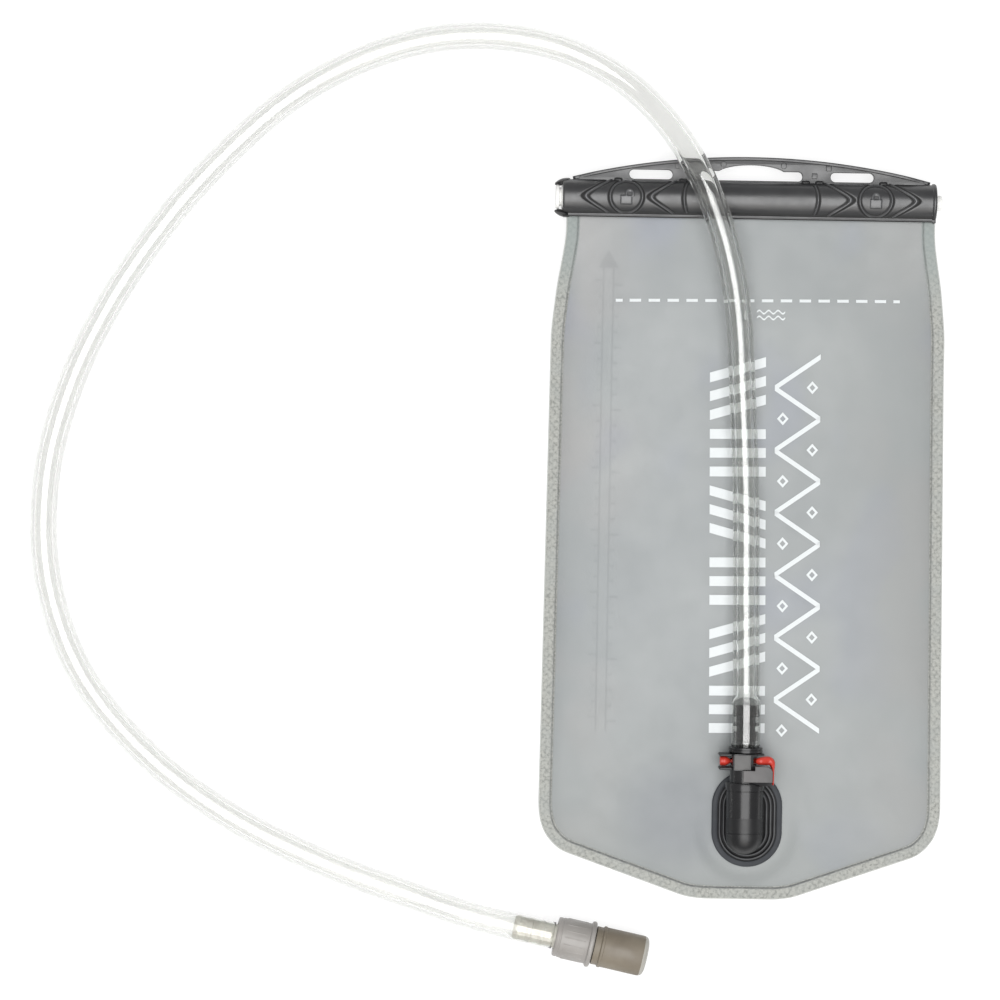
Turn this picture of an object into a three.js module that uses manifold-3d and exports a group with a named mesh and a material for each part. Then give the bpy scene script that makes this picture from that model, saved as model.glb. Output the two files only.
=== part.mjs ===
// Hydration bladder, laid flat on its back. Millimetres: +Z up, +Y towards the mouth, +X to the right.
// The origin is under the middle of the bladder, on the surface that it lies on.
import * as THREE from "three";
import { mergeVertices } from "three/addons/utils/BufferGeometryUtils.js";
import Module from "manifold-3d";

const wasm = await Module();
wasm.setup();

const GAP = 0.3;

// Bladder films
const FILM = 0.6;
const WELD_WIDTH = 6.2;
const BOTTOM_Y = -166.5;
const MOUTH_Y = 146;
// Half of the bladder's width at heights up the bag, from its bottom edge to its mouth.
const SILHOUETTE = [
  [BOTTOM_Y, 17],
  [-165.6, 24],
  [-146, 80],
  [-141.8, 84.8],
  [-137.5, 87.8],
  [-132, 89.7],
  [-126, 90.4],
  [88, 88.4],
  [108, 86.2],
  [118, 84.4],
  [130, 82.5],
  [MOUTH_Y, 82.5],
];
const PUFF = 8.4;
const PUFF_AT_PORT = 5.1;
const PUFF_REACH = 50;
// Heights and shares of the half-width at which the films are bent.
const ROWS = [
  BOTTOM_Y, -165.6, -158, -152, -146, -141.8, -137.5, -132, -126, -117, -106, -92, -74,
  -50, -22, 8, 38, 66, 84, 96, 108, 118, 126, 133, 139, MOUTH_Y,
];
const COLUMNS = [0, 0.13, 0.26, 0.45, 0.65, 0.82, 0.93, 1];

// Slide closure
const SLIDER_Y = 147.3;
const SLIDER_Z = 8.3;
const SLIDER_RADIUS = 8;
const SLIDER_FLARE_RADIUS = 8.25;
const SLIDER_FLARE_LENGTH = 1.4;
const SLIDER_WALL = 1.8;
const SLIDER_LEFT_X = -84.3;
const SLIDER_RIGHT_X = 82.4;
const PRONG_LENGTH = 3.6;
const PRONG_HALF_GAP = 6;
const SLOT_HALF_HEIGHT = 2.6;
const HANDLE_APEX_Y = 166.3;
const HANDLE_RADIUS = 331;
const HANDLE_HALF_SPAN = 80;
const HANDLE_THICKNESS = 3;
const BEAD_WIDTH = 1.4;
const BEAD_THICKNESS = 5.4;
const SLOT_LOW_Y = 155.5;
const SLOT_HIGH_Y = 160.4;
const SIDE_SLOT_X = 45;
const SIDE_SLOT_HALF_LENGTH = 10;
const GRIP_HALF_LENGTH = 23;
const GRIP_ARCH_HALF_LENGTH = 14.5;
const CUT_THROUGH = 12;

// Rails
const RAIL_RADIUS = 5.6;
const RAIL_LEFT_X = -87.5;
const RAIL_RIGHT_X = 85.2;

// Port, on an axis along Y
const PORT_X = 1.2;
const PORT_Z = 16.4;
const FLANGE_X = 3;
const FLANGE_Y = -129.7;
const FLANGE_HALF_WIDTH = 15.7;
const FLANGE_HALF_LENGTH = 21.5;
const FLANGE_THICKNESS = 1.6;
const PORT_PLANE_Z = 6.6;
const FLANGE_Z = PORT_PLANE_Z + GAP;
const ELBOW_FOOT_Z = FLANGE_Z + FLANGE_THICKNESS + GAP;
const FLAT_HALF_WIDTH = 27;
const FLAT_LOW_Y = -153;
const FLAT_HIGH_Y = -105;
const INLET_Y = -129;
const INLET_RADIUS = 4.5;
const DOME_Y = -136.5;
const ELBOW_RADIUS = 8.2;
const ELBOW_WALL = 3;
const RING_LOW_Y = -116.2;
const RING_HIGH_Y = -112.7;
const RING_RADIUS = 8.6;
const NECK_RADIUS = 6.8;
const NECK_HIGH_Y = -105.6;
const CHAMBER_LOW_Y = -134;
const SEAT_LOW_Y = -115.9;
const SEAT_HIGH_Y = -114.6;
const SEAT_RADIUS = 3;
const SOCKET_RADIUS = 4.7;
const HOUSING_LOW_Y = -106.9;
const HOUSING_HIGH_Y = -99.7;
const HOUSING_BORE_RADIUS = 7.1;
const HOUSING_MIDDLE_X = -0.55;
const HOUSING_HALF_WIDTH = 5.65;
const HOUSING_HALF_HEIGHT = 8;
const HOUSING_CHAMFER = 2.4;
const FORK_LEFT_X = -11.8;
const FORK_RIGHT_X = -5;
const FORK_THICKNESS = 1.2;
const FORK_HALF_HEIGHT = 5;
const LATCH_Y = -103.2;
const LATCH_TRAVEL = 1.6;
const LATCH_HALF_THICKNESS = 1.2;
const LATCH_HALF_HEIGHT = 5.6;
const LATCH_SLOT_LOW_Y = LATCH_Y - LATCH_HALF_THICKNESS - GAP;
const LATCH_SLOT_HIGH_Y = LATCH_Y + LATCH_HALF_THICKNESS + GAP;
const LATCH_WINDOW_RADIUS = 4.6;
const LATCH_BAR_RADIUS = 2.1;
const STRIP_LEFT_X = 11.4;
const STRIP_RIGHT_X = 12.6;
const STRIP_LOW_Y = -113.4;
const PAD_LEFT_X = -1;
const PAD_RIGHT_X = STRIP_LEFT_X - GAP;
const PAD_LOW_Y = -111.8;
const PAD_HIGH_Y = -107.2;
const PAD_Z = 7.6;
const PAD_THICKNESS = 1.6;
const PAD_CORNER_X = 6.6;
const PAD_WALL = 1.4;
const NOSE_RADIUS = 4.2;
const NOSE_TIP_Y = -113.7;
const LATCH_GROOVE_RADIUS = 3.4;
const DISC_RADIUS = 7.6;
const DISC_LOW_Y = -99.4;
const DISC_HIGH_Y = -96.8;
const SPRING_Z = -6.9;

// Hose
const TUBE_RADIUS = 5.95;
const TUBE_BORE_RADIUS = 3.7;
const TUBE_SIDES = 10;
const TUBE_STEPS = 58;
const PASSAGE_RADIUS = 1.9;
const BARB_RADIUS = 2.7;
const BARB_RING_RADIUS = 3.2;
// Centreline of the hose: out of the plug, up over the closure, round the loop to the bite valve.
const TUBE_ROUTE = [
  [1.2, -96.4, 16.4],
  [1.2, -86, 16.4],
  [1.1, -74, 16.4],
  [0.3, -31, 16.2],
  [-0.5, 13, 16.2],
  [-2.7, 57, 17],
  [-5.2, 93, 19],
  [-8.6, 114, 21.2],
  [-14.2, 134, 23.2],
  [-22.5, 155, 22.8],
  [-37.3, 179.5, 14.5],
  [-57.5, 199.5, 7.8],
  [-82.6, 212.7, 6],
  [-110, 218.5, 6],
  [-138, 218, 6],
  [-165, 211.5, 6],
  [-189.5, 200.5, 6],
  [-211, 186.5, 6],
  [-229.5, 170, 6],
  [-245.7, 153.2, 6],
  [-260, 136, 6],
  [-283.6, 101, 6],
  [-302, 63, 6],
  [-313, 21, 6],
  [-312.6, -24.5, 6],
  [-297.3, -68.5, 6],
  [-267, -105, 6],
  [-228, -133, 6],
  [-183.3, -154, 6],
  [-147, -166.6, 6.8],
  [-121, -174.6, 9.4],
  [-101.4, -179.1, 10.4],
  [-82.8, -183.05, 10.4],
];

// Bite valve, on its own axis that starts at the tip of its barb
const VALVE_START = [-101.4, -179.1, 10.4];
const VALVE_ANGLE_DEG = -12;
const VALVE_TUBE_END = 19;

const DARK = { color: 0x2b2c2e, roughness: 0.45, metalness: 0 };
const MATERIALS = {
  film: { color: 0xb2b8ba, roughness: 0.45, metalness: 0 },
  rail: { color: 0xe9ebe8, roughness: 0.4, metalness: 0 },
  moulding: DARK,
  flange: { color: 0x36383a, roughness: 0.55, metalness: 0 },
  pad: { color: 0x55575a, roughness: 0.8, metalness: 0 },
  red: { color: 0xd0392c, roughness: 0.35, metalness: 0 },
  steel: { color: 0xb9bcc0, roughness: 0.3, metalness: 1 },
  seal: { color: 0x1d1d1e, roughness: 0.6, metalness: 0 },
  tube: { color: 0xf1f2ee, roughness: 0.15, metalness: 0 },
  frosted: { color: 0xdcdacb, roughness: 0.5, metalness: 0 },
  collar: { color: 0xb5b2b0, roughness: 0.4, metalness: 0 },
  silicone: { color: 0xa2988e, roughness: 0.6, metalness: 0 },
};

const bladder = new THREE.Group();

function addPiece(name, geometry, material, parent = bladder) {
  const mesh = new THREE.Mesh(geometry, new THREE.MeshStandardMaterial(MATERIALS[material]));
  mesh.name = name;
  parent.add(mesh);
  return mesh;
}

// A closed geometry as a solid that can be joined and cut.
function solidOf(geometry) {
  const bare = new THREE.BufferGeometry();
  const source = geometry.index ? geometry.toNonIndexed() : geometry;
  bare.setAttribute("position", source.getAttribute("position"));
  const merged = mergeVertices(bare, 1e-3);
  const mesh = new wasm.Mesh({
    numProp: 3,
    vertProperties: merged.attributes.position.array,
    triVerts: new Uint32Array(merged.index.array),
  });
  return new wasm.Manifold(mesh);
}

function geometryOf(solid) {
  const mesh = solid.getMesh();
  const geometry = new THREE.BufferGeometry();
  geometry.setAttribute("position", new THREE.BufferAttribute(mesh.vertProperties, 3));
  geometry.setIndex(new THREE.BufferAttribute(mesh.triVerts, 1));
  return geometry;
}

// A box between two corners.
function block(low, high) {
  const size = high.map((value, axis) => value - low[axis]);
  const middle = high.map((value, axis) => (value + low[axis]) / 2);
  return solidOf(new THREE.BoxGeometry(...size).translate(...middle));
}

// A turned piece: profile points are [radius, y], listed up the outside and down the inside.
function turned(profile, sides = 20) {
  const points = profile.map(([radius, y]) => new THREE.Vector2(radius, y));
  return new THREE.LatheGeometry(points, sides);
}

// A ring of round wire about the Y axis.
function ringAt(y, radius, wireRadius, sides = 18) {
  return new THREE.TorusGeometry(radius, wireRadius, 6, sides).rotateX(Math.PI / 2).translate(0, y, 0);
}

function roundRod(radius, length, sides = 20) {
  return new THREE.CylinderGeometry(radius, radius, length, sides);
}

// A coil of round wire about the Y axis, from lowY to highY.
function coil(radius, wireRadius, lowY, highY, turns) {
  const pointsPerTurn = 8;
  const points = [];
  for (let step = 0; step <= turns * pointsPerTurn; step += 1) {
    const angle = (step / pointsPerTurn) * 2 * Math.PI;
    const y = THREE.MathUtils.lerp(lowY, highY, step / (turns * pointsPerTurn));
    points.push(new THREE.Vector3(radius * Math.cos(angle), y, radius * Math.sin(angle)));
  }
  return tubeAlong(new THREE.CatmullRomCurve3(points), circle(wireRadius, 6), points.length - 1);
}

function circle(radius, sides) {
  const points = [];
  for (let side = 0; side < sides; side += 1) {
    const angle = (side / sides) * 2 * Math.PI;
    points.push(new THREE.Vector2(radius * Math.cos(angle), radius * Math.sin(angle)));
  }
  return new THREE.Shape(points);
}

function tubeAlong(curve, section, steps) {
  return new THREE.ExtrudeGeometry(section, { extrudePath: curve, steps, curveSegments: 1 });
}

function smoothstep(low, high, value) {
  const t = THREE.MathUtils.clamp((value - low) / (high - low), 0, 1);
  return t * t * (3 - 2 * t);
}

// ---- Bladder films ----

function halfWidth(y) {
  const above = Math.max(1, SILHOUETTE.findIndex(([edgeY]) => edgeY >= y));
  const [lowY, lowWidth] = SILHOUETTE[above - 1];
  const [highY, highWidth] = SILHOUETTE[above];
  return THREE.MathUtils.mapLinear(y, lowY, highY, lowWidth, highWidth);
}

// Distance from a point inside the bladder to its silhouette, the mouth left out.
function edgeDistance(x, y) {
  const corners = [[BOTTOM_Y, 0], ...SILHOUETTE];
  const point = new THREE.Vector3(Math.abs(x), y, 0);
  const closest = new THREE.Vector3();
  return Math.min(
    ...corners.slice(1).map(([endY, endX], index) => {
      const [startY, startX] = corners[index];
      const edge = new THREE.Line3(new THREE.Vector3(startX, startY, 0), new THREE.Vector3(endX, endY, 0));
      return edge.closestPointToPoint(point, true, closest).distanceTo(point);
    }),
  );
}

// The back film's underside: on the table, rising to the closure's height at the mouth.
function backZ(y) {
  return (SLIDER_Z - FILM - GAP / 2) * smoothstep(62, 139, y);
}

function underPort(x, y) {
  return Math.abs(x - FLANGE_X) < FLAT_HALF_WIDTH && y > FLAT_LOW_Y && y < FLAT_HIGH_Y;
}

// Room between the films, which a little air leaves in the bladder.
function puffAt(x, y) {
  if (underPort(x, y)) return PORT_PLANE_Z - 2 * FILM - GAP;
  const depth = THREE.MathUtils.clamp((edgeDistance(x, y) - WELD_WIDTH) / PUFF_REACH, 0, 1);
  const height = THREE.MathUtils.lerp(PUFF_AT_PORT, PUFF, smoothstep(-110, -50, y));
  return height * Math.sin((Math.PI / 2) * depth) ** 0.7 * (1 - smoothstep(80, 138, y));
}

function filmX(column, y) {
  const width = halfWidth(y);
  if (Math.abs(column) === COLUMNS.length - 1) return Math.sign(column) * width;
  return Math.sign(column) * COLUMNS[Math.abs(column)] * ((width - WELD_WIDTH) / COLUMNS.at(-2));
}

// A sheet of film whose underside is at the height that undersideZ gives.
function filmSheet(undersideZ) {
  const sideColumns = COLUMNS.length - 1;
  const perRow = 2 * sideColumns + 1;
  const positions = [];
  for (const rise of [0, FILM]) {
    for (const y of ROWS) {
      for (let column = -sideColumns; column <= sideColumns; column += 1) {
        const x = filmX(column, y);
        positions.push(x, y, undersideZ(x, y) + rise);
      }
    }
  }
  const top = ROWS.length * perRow;
  const faces = [];
  const quad = (a, b, c, d) => faces.push(a, b, c, a, c, d);
  for (let row = 0; row < ROWS.length - 1; row += 1) {
    for (let column = 0; column < perRow - 1; column += 1) {
      const near = row * perRow + column;
      const far = near + perRow;
      quad(near, far, far + 1, near + 1);
      quad(top + near, top + near + 1, top + far + 1, top + far);
    }
    const left = row * perRow;
    const right = left + perRow - 1;
    quad(left, top + left, top + left + perRow, left + perRow);
    quad(right, right + perRow, top + right + perRow, top + right);
  }
  const lastRow = (ROWS.length - 1) * perRow;
  for (let column = 0; column < perRow - 1; column += 1) {
    quad(column, column + 1, top + column + 1, top + column);
    quad(lastRow + column, top + lastRow + column, top + lastRow + column + 1, lastRow + column + 1);
  }
  const geometry = new THREE.BufferGeometry();
  geometry.setAttribute("position", new THREE.Float32BufferAttribute(positions, 3));
  geometry.setIndex(faces);
  return geometry;
}

function addFilms() {
  addPiece("back_film", filmSheet((x, y) => backZ(y)), "film");
  const inlet = roundRod(INLET_RADIUS, 20, 16).rotateX(Math.PI / 2).translate(PORT_X, INLET_Y, PORT_PLANE_Z);
  const front = solidOf(filmSheet((x, y) => backZ(y) + FILM + GAP + puffAt(x, y))).subtract(solidOf(inlet));
  addPiece("front_film", geometryOf(front), "film");
}

// ---- Rails and slide closure ----

// A half-round rail: side 1 is on the front film, side -1 on the back film.
function railGeometry(side) {
  const chord = FILM + GAP * 1.5;
  const reach = Math.acos(chord / RAIL_RADIUS);
  const middle = (side * Math.PI) / 2;
  const section = new THREE.Shape();
  section.absarc(0, 0, RAIL_RADIUS, middle - reach, middle + reach, false);
  section.closePath();
  return alongX(section, RAIL_LEFT_X, RAIL_RIGHT_X, 10);
}

// A section drawn in (y, z) about the closure's axis, extruded along X.
function alongX(section, lowX, highX, curveSegments) {
  const turn = new THREE.Matrix4().makeBasis(
    new THREE.Vector3(0, 1, 0),
    new THREE.Vector3(0, 0, 1),
    new THREE.Vector3(1, 0, 0),
  );
  return new THREE.ExtrudeGeometry(section, { depth: highX - lowX, bevelEnabled: false, curveSegments })
    .applyMatrix4(turn)
    .translate(lowX, SLIDER_Y, SLIDER_Z);
}

// A C-section tube with its slot towards the bladder.
function slottedTube(radius, lowX, highX) {
  const inner = SLIDER_RADIUS - SLIDER_WALL;
  const outerAngle = Math.PI - Math.asin(SLOT_HALF_HEIGHT / radius);
  const innerAngle = Math.PI - Math.asin(SLOT_HALF_HEIGHT / inner);
  const section = new THREE.Shape();
  section.absarc(0, 0, radius, -outerAngle, outerAngle, false);
  section.absarc(0, 0, inner, innerAngle, -innerAngle, true);
  section.closePath();
  return solidOf(alongX(section, lowX, highX, 14));
}

// A flat plate in the handle's plane, on the closure's mid-height.
function handlePlate(outline, thickness) {
  const options = { depth: thickness, bevelEnabled: false, curveSegments: 12 };
  const geometry = new THREE.ExtrudeGeometry(outline, options);
  return solidOf(geometry.translate(0, 0, SLIDER_Z - thickness / 2));
}

function handleArc(shape, inset, clockwise) {
  const half = Math.asin(HANDLE_HALF_SPAN / HANDLE_RADIUS);
  const start = Math.PI / 2 + (clockwise ? half : -half);
  const end = Math.PI / 2 - (clockwise ? half : -half);
  shape.absarc(0, HANDLE_APEX_Y - HANDLE_RADIUS, HANDLE_RADIUS - inset, start, end, clockwise);
}

function handleWeb() {
  const outline = new THREE.Shape();
  outline.moveTo(-HANDLE_HALF_SPAN, SLIDER_Y + 7.4);
  outline.lineTo(HANDLE_HALF_SPAN, SLIDER_Y + 7.4);
  handleArc(outline, 0, false);
  return handlePlate(outline, HANDLE_THICKNESS);
}

function handleBead() {
  const outline = new THREE.Shape();
  handleArc(outline, 0, false);
  handleArc(outline, BEAD_WIDTH, true);
  return handlePlate(outline, BEAD_THICKNESS);
}

function sideSlot(side) {
  const radius = (SLOT_HIGH_Y - SLOT_LOW_Y) / 2;
  const y = (SLOT_HIGH_Y + SLOT_LOW_Y) / 2;
  const outline = new THREE.Shape();
  const reach = SIDE_SLOT_HALF_LENGTH - radius;
  outline.absarc(side * SIDE_SLOT_X + reach, y, radius, -Math.PI / 2, Math.PI / 2, false);
  outline.absarc(side * SIDE_SLOT_X - reach, y, radius, Math.PI / 2, (Math.PI * 3) / 2, false);
  return handlePlate(outline, CUT_THROUGH);
}

function gripSlot() {
  const corner = 2.4;
  const arch = 3.7;
  const end = GRIP_HALF_LENGTH;
  const inner = end - corner;
  const bend = GRIP_ARCH_HALF_LENGTH;
  const outline = new THREE.Shape();
  outline.moveTo(-inner, SLOT_LOW_Y);
  outline.lineTo(inner, SLOT_LOW_Y);
  outline.quadraticCurveTo(end, SLOT_LOW_Y, end, SLOT_LOW_Y + corner);
  outline.quadraticCurveTo(end, SLOT_HIGH_Y, inner, SLOT_HIGH_Y);
  outline.lineTo(bend, SLOT_HIGH_Y);
  outline.bezierCurveTo(bend - 6, SLOT_HIGH_Y + arch, 6 - bend, SLOT_HIGH_Y + arch, -bend, SLOT_HIGH_Y);
  outline.lineTo(-inner, SLOT_HIGH_Y);
  outline.quadraticCurveTo(-end, SLOT_HIGH_Y, -end, SLOT_LOW_Y + corner);
  outline.quadraticCurveTo(-end, SLOT_LOW_Y, -inner, SLOT_LOW_Y);
  return handlePlate(outline, CUT_THROUGH);
}

function addClosure() {
  addPiece("front_rail", railGeometry(1), "rail");
  addPiece("back_rail", railGeometry(-1), "rail");
  const tipX = SLIDER_LEFT_X - PRONG_LENGTH;
  const betweenProngs = block(
    [tipX - 1, SLIDER_Y - PRONG_HALF_GAP, SLIDER_Z - 10],
    [SLIDER_LEFT_X, SLIDER_Y + PRONG_HALF_GAP, SLIDER_Z + 10],
  );
  const slider = slottedTube(SLIDER_RADIUS, tipX, SLIDER_RIGHT_X)
    .subtract(betweenProngs)
    .add(slottedTube(SLIDER_FLARE_RADIUS, SLIDER_RIGHT_X - SLIDER_FLARE_LENGTH, SLIDER_RIGHT_X))
    .add(handleWeb())
    .add(handleBead())
    .subtract(sideSlot(-1))
    .subtract(sideSlot(1))
    .subtract(gripSlot());
  addPiece("slide_closure", geometryOf(slider), "moulding");
}

// ---- Port ----

const port = new THREE.Group();
port.position.set(PORT_X, 0, PORT_Z);
bladder.add(port);

function stadium(halfWidthX, halfLengthY) {
  const straight = halfLengthY - halfWidthX;
  const outline = new THREE.Shape();
  outline.absarc(0, straight, halfWidthX, 0, Math.PI, false);
  outline.absarc(0, -straight, halfWidthX, Math.PI, 2 * Math.PI, false);
  return outline;
}

function inletHole(lowZ, highZ) {
  const rod = roundRod(INLET_RADIUS, highZ - lowZ, 16).rotateX(Math.PI / 2);
  return solidOf(rod.translate(0, INLET_Y, (lowZ + highZ) / 2));
}

function addFlange() {
  const plate = new THREE.ExtrudeGeometry(stadium(FLANGE_HALF_WIDTH, FLANGE_HALF_LENGTH), {
    depth: FLANGE_THICKNESS,
    bevelEnabled: false,
    curveSegments: 14,
  });
  plate.translate(FLANGE_X - PORT_X, FLANGE_Y, FLANGE_Z - PORT_Z);
  const flange = solidOf(plate).subtract(inletHole(-14, 0));
  addPiece("port_flange", geometryOf(flange), "flange", port);
}

// The elbow's dome, ring and neck, with its socket, valve seat and valve chamber.
function addElbow() {
  const dome = [0, 0.26, 0.52, 0.78, 1.04, 1.3].map((angle) => [
    ELBOW_RADIUS * Math.sin(angle),
    DOME_Y - ELBOW_RADIUS * Math.cos(angle),
  ]);
  const outside = turned([
    ...dome,
    [ELBOW_RADIUS, DOME_Y],
    [ELBOW_RADIUS, RING_LOW_Y - 0.2],
    [RING_RADIUS, RING_LOW_Y],
    [RING_RADIUS, RING_HIGH_Y],
    [NECK_RADIUS, RING_HIGH_Y + 0.1],
    [NECK_RADIUS, NECK_HIGH_Y],
    [0, NECK_HIGH_Y],
  ]);
  const hollow = turned([
    [0, CHAMBER_LOW_Y],
    [ELBOW_RADIUS - ELBOW_WALL, CHAMBER_LOW_Y],
    [ELBOW_RADIUS - ELBOW_WALL, SEAT_LOW_Y - 0.1],
    [SEAT_RADIUS, SEAT_LOW_Y + 0.1],
    [SEAT_RADIUS, SEAT_HIGH_Y],
    [SOCKET_RADIUS, SEAT_HIGH_Y + 0.1],
    [SOCKET_RADIUS, NECK_HIGH_Y + 1],
    [0, NECK_HIGH_Y + 1],
  ]);
  const foot = block([-6.4, -138, -12], [6.4, RING_HIGH_Y - GAP, -3]);
  const belowFoot = block([-20, -160, -20], [20, -90, ELBOW_FOOT_Z - PORT_Z]);
  const elbow = solidOf(outside)
    .add(foot)
    .subtract(belowFoot)
    .subtract(solidOf(hollow))
    .subtract(inletHole(-12, 0));
  addPiece("port_elbow", geometryOf(elbow), "moulding", port);
}

// A plate across the port's axis with chamfered corners.
function housingBand() {
  const wide = HOUSING_HALF_WIDTH;
  const tall = HOUSING_HALF_HEIGHT;
  const narrow = wide - HOUSING_CHAMFER;
  const low = tall - HOUSING_CHAMFER;
  const corners = [
    [-wide, -low], [-narrow, -tall], [narrow, -tall], [wide, -low],
    [wide, low], [narrow, tall], [-narrow, tall], [-wide, low],
  ];
  const outline = new THREE.Shape(corners.map(([x, z]) => new THREE.Vector2(HOUSING_MIDDLE_X + x, z)));
  const depth = HOUSING_HIGH_Y - HOUSING_LOW_Y;
  const band = new THREE.ExtrudeGeometry(outline, { depth, bevelEnabled: false });
  return solidOf(band.rotateX(Math.PI / 2).translate(0, HOUSING_HIGH_Y, 0));
}

function forkProng(lowY) {
  return block([FORK_LEFT_X, lowY, -FORK_HALF_HEIGHT], [FORK_RIGHT_X, lowY + FORK_THICKNESS, FORK_HALF_HEIGHT]);
}

// The band that holds the latch, with a fork on its left.
function addHousing() {
  const bore = turned([
    [0, HOUSING_LOW_Y - 1],
    [HOUSING_BORE_RADIUS, HOUSING_LOW_Y - 1],
    [HOUSING_BORE_RADIUS, -105.3],
    [4.6, -105.2],
    [4.6, HOUSING_HIGH_Y + 1],
    [0, HOUSING_HIGH_Y + 1],
  ]);
  const latchSlot = block([-12, LATCH_SLOT_LOW_Y, -5.9], [12, LATCH_SLOT_HIGH_Y, 5.9]);
  const springPocket = block([-3.4, LATCH_SLOT_LOW_Y, -12], [4, LATCH_SLOT_HIGH_Y, -5.5]);
  const barHole = roundRod(2.5, 6).rotateZ(Math.PI / 2).translate(6.6, LATCH_Y, 0);
  const corner = block([5, HOUSING_HIGH_Y - FORK_THICKNESS, -3.6], [8.6, HOUSING_HIGH_Y, 3.6]);
  const housing = housingBand()
    .add(forkProng(HOUSING_LOW_Y))
    .add(forkProng(HOUSING_HIGH_Y - FORK_THICKNESS))
    .add(corner)
    .subtract(solidOf(bore))
    .subtract(latchSlot)
    .subtract(springPocket)
    .subtract(solidOf(barHole));
  addPiece("coupler_housing", geometryOf(housing), "moulding", port);
}

// The hole in the latch plate, long enough to clear the plug at both ends of the travel.
function latchWindow() {
  const [radius, reach] = [LATCH_WINDOW_RADIUS, 4];
  const round = solidOf(roundRod(radius, 2 * reach, 24).translate(0, LATCH_Y, 0));
  const middle = block([0, LATCH_Y - reach, -radius], [LATCH_TRAVEL, LATCH_Y + reach, radius]);
  return round.add(round.translate(LATCH_TRAVEL, 0, 0)).add(middle);
}

// The latch: a windowed plate, a lug in the fork, a bar to the right and the strip down its edge.
function addLatch() {
  const lowY = LATCH_Y - LATCH_HALF_THICKNESS;
  const highY = LATCH_Y + LATCH_HALF_THICKNESS;
  const plate = block([-5.6, lowY, -LATCH_HALF_HEIGHT], [7.3, highY, LATCH_HALF_HEIGHT]);
  const lug = block([-11, LATCH_Y - 2, -2.2], [-6.5, LATCH_Y + 2, 2.2]);
  const lugNeck = block([-6.8, lowY, -2.2], [-5, highY, 2.2]);
  const bar = solidOf(roundRod(LATCH_BAR_RADIUS, 5.6).rotateZ(-Math.PI / 2).translate(9.2, LATCH_Y, 0));
  const strip = block([STRIP_LEFT_X, STRIP_LOW_Y, -4], [STRIP_RIGHT_X, LATCH_Y + LATCH_BAR_RADIUS, 6.6]);
  const tongue = block([2.6, lowY, -7.4], [3.5, highY, 0.2 - LATCH_HALF_HEIGHT]);
  const latch = plate.subtract(latchWindow()).add(lug).add(lugNeck).add(bar).add(strip).add(tongue);
  addPiece("latch_plate", geometryOf(latch), "red", port);
}

// The pad's wall ends above the elbow's ring, which it passes when it is pressed in.
function addThumbPad() {
  const topZ = PAD_Z + PAD_THICKNESS;
  const top = block([PAD_LEFT_X, PAD_LOW_Y, PAD_Z], [PAD_RIGHT_X, PAD_HIGH_Y, topZ]);
  const corner = block([PAD_CORNER_X, PAD_HIGH_Y - 1, PAD_Z], [PAD_RIGHT_X, PAD_HIGH_Y + 2, topZ]);
  const wall = block([PAD_RIGHT_X - PAD_WALL, RING_HIGH_Y + GAP, -3], [PAD_RIGHT_X, PAD_HIGH_Y, PAD_Z + 0.4]);
  addPiece("thumb_pad", geometryOf(top.add(corner).add(wall)), "pad", port);
}

function addLatchSpring() {
  const spring = coil(0.8, 0.22, -3.1, 2.2, 4).rotateZ(-Math.PI / 2).translate(0, LATCH_Y, SPRING_Z);
  addPiece("latch_spring", spring, "steel", port);
}

// Automatic shut-off, held open by the plug's nose.
function addPoppet() {
  const head = solidOf(
    turned([
      [0, -121.2],
      [4.3, -121.2],
      [4.3, -119.3],
      [0, -119.3],
    ]),
  );
  const finLong = block([-0.6, -119.6, -2.6], [0.6, -114, 2.6]);
  const finWide = block([-2.6, -119.6, -0.6], [2.6, -114, 0.6]);
  addPiece("valve_poppet", geometryOf(head.add(finLong).add(finWide)), "frosted", port);
  const seal = turned([
    [2.9, -119],
    [4.3, -119],
    [4.3, -118.3],
    [2.9, -118.3],
    [2.9, -119],
  ]);
  addPiece("poppet_seal", seal, "seal", port);
  addPiece("poppet_spring", coil(3.2, 0.35, -133.3, -121.9, 4), "steel", port);
}

// ---- Hose and its plug ----

function barbProfile(startY, endY, direction) {
  const rings = 3;
  const pitch = (endY - startY) / rings;
  const points = [];
  for (let ring = 0; ring < rings; ring += 1) {
    const y = startY + ring * pitch;
    const [before, after] = direction > 0 ? [BARB_RADIUS, BARB_RING_RADIUS] : [BARB_RING_RADIUS, BARB_RADIUS];
    points.push([before, y], [after, y + pitch * 0.5], [BARB_RADIUS, y + pitch * 0.6]);
  }
  return points;
}

function addPlug() {
  const profile = [
    [PASSAGE_RADIUS, NOSE_TIP_Y],
    [NOSE_RADIUS - 0.4, NOSE_TIP_Y],
    [NOSE_RADIUS, NOSE_TIP_Y + 0.5],
    [NOSE_RADIUS, -110.6],
    [3, -110.5],
    [3, -108.5],
    [NOSE_RADIUS, -108.4],
    [NOSE_RADIUS, LATCH_Y - 1.5],
    [LATCH_GROOVE_RADIUS, LATCH_Y - 1.3],
    [LATCH_GROOVE_RADIUS, LATCH_Y + 1.3],
    [NOSE_RADIUS, LATCH_Y + 1.5],
    [NOSE_RADIUS, DISC_LOW_Y],
    [DISC_RADIUS, DISC_LOW_Y],
    [DISC_RADIUS, DISC_HIGH_Y],
    [BARB_RADIUS, DISC_HIGH_Y + 0.1],
    ...barbProfile(-96, -79.5, 1),
    [BARB_RADIUS, -79],
    [PASSAGE_RADIUS, -78.6],
    [PASSAGE_RADIUS, NOSE_TIP_Y],
  ];
  addPiece("hose_plug", turned(profile), "moulding", port);
  addPiece("plug_o_ring", ringAt(-109.5, 3.75, 0.48), "seal", port);
}

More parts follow.
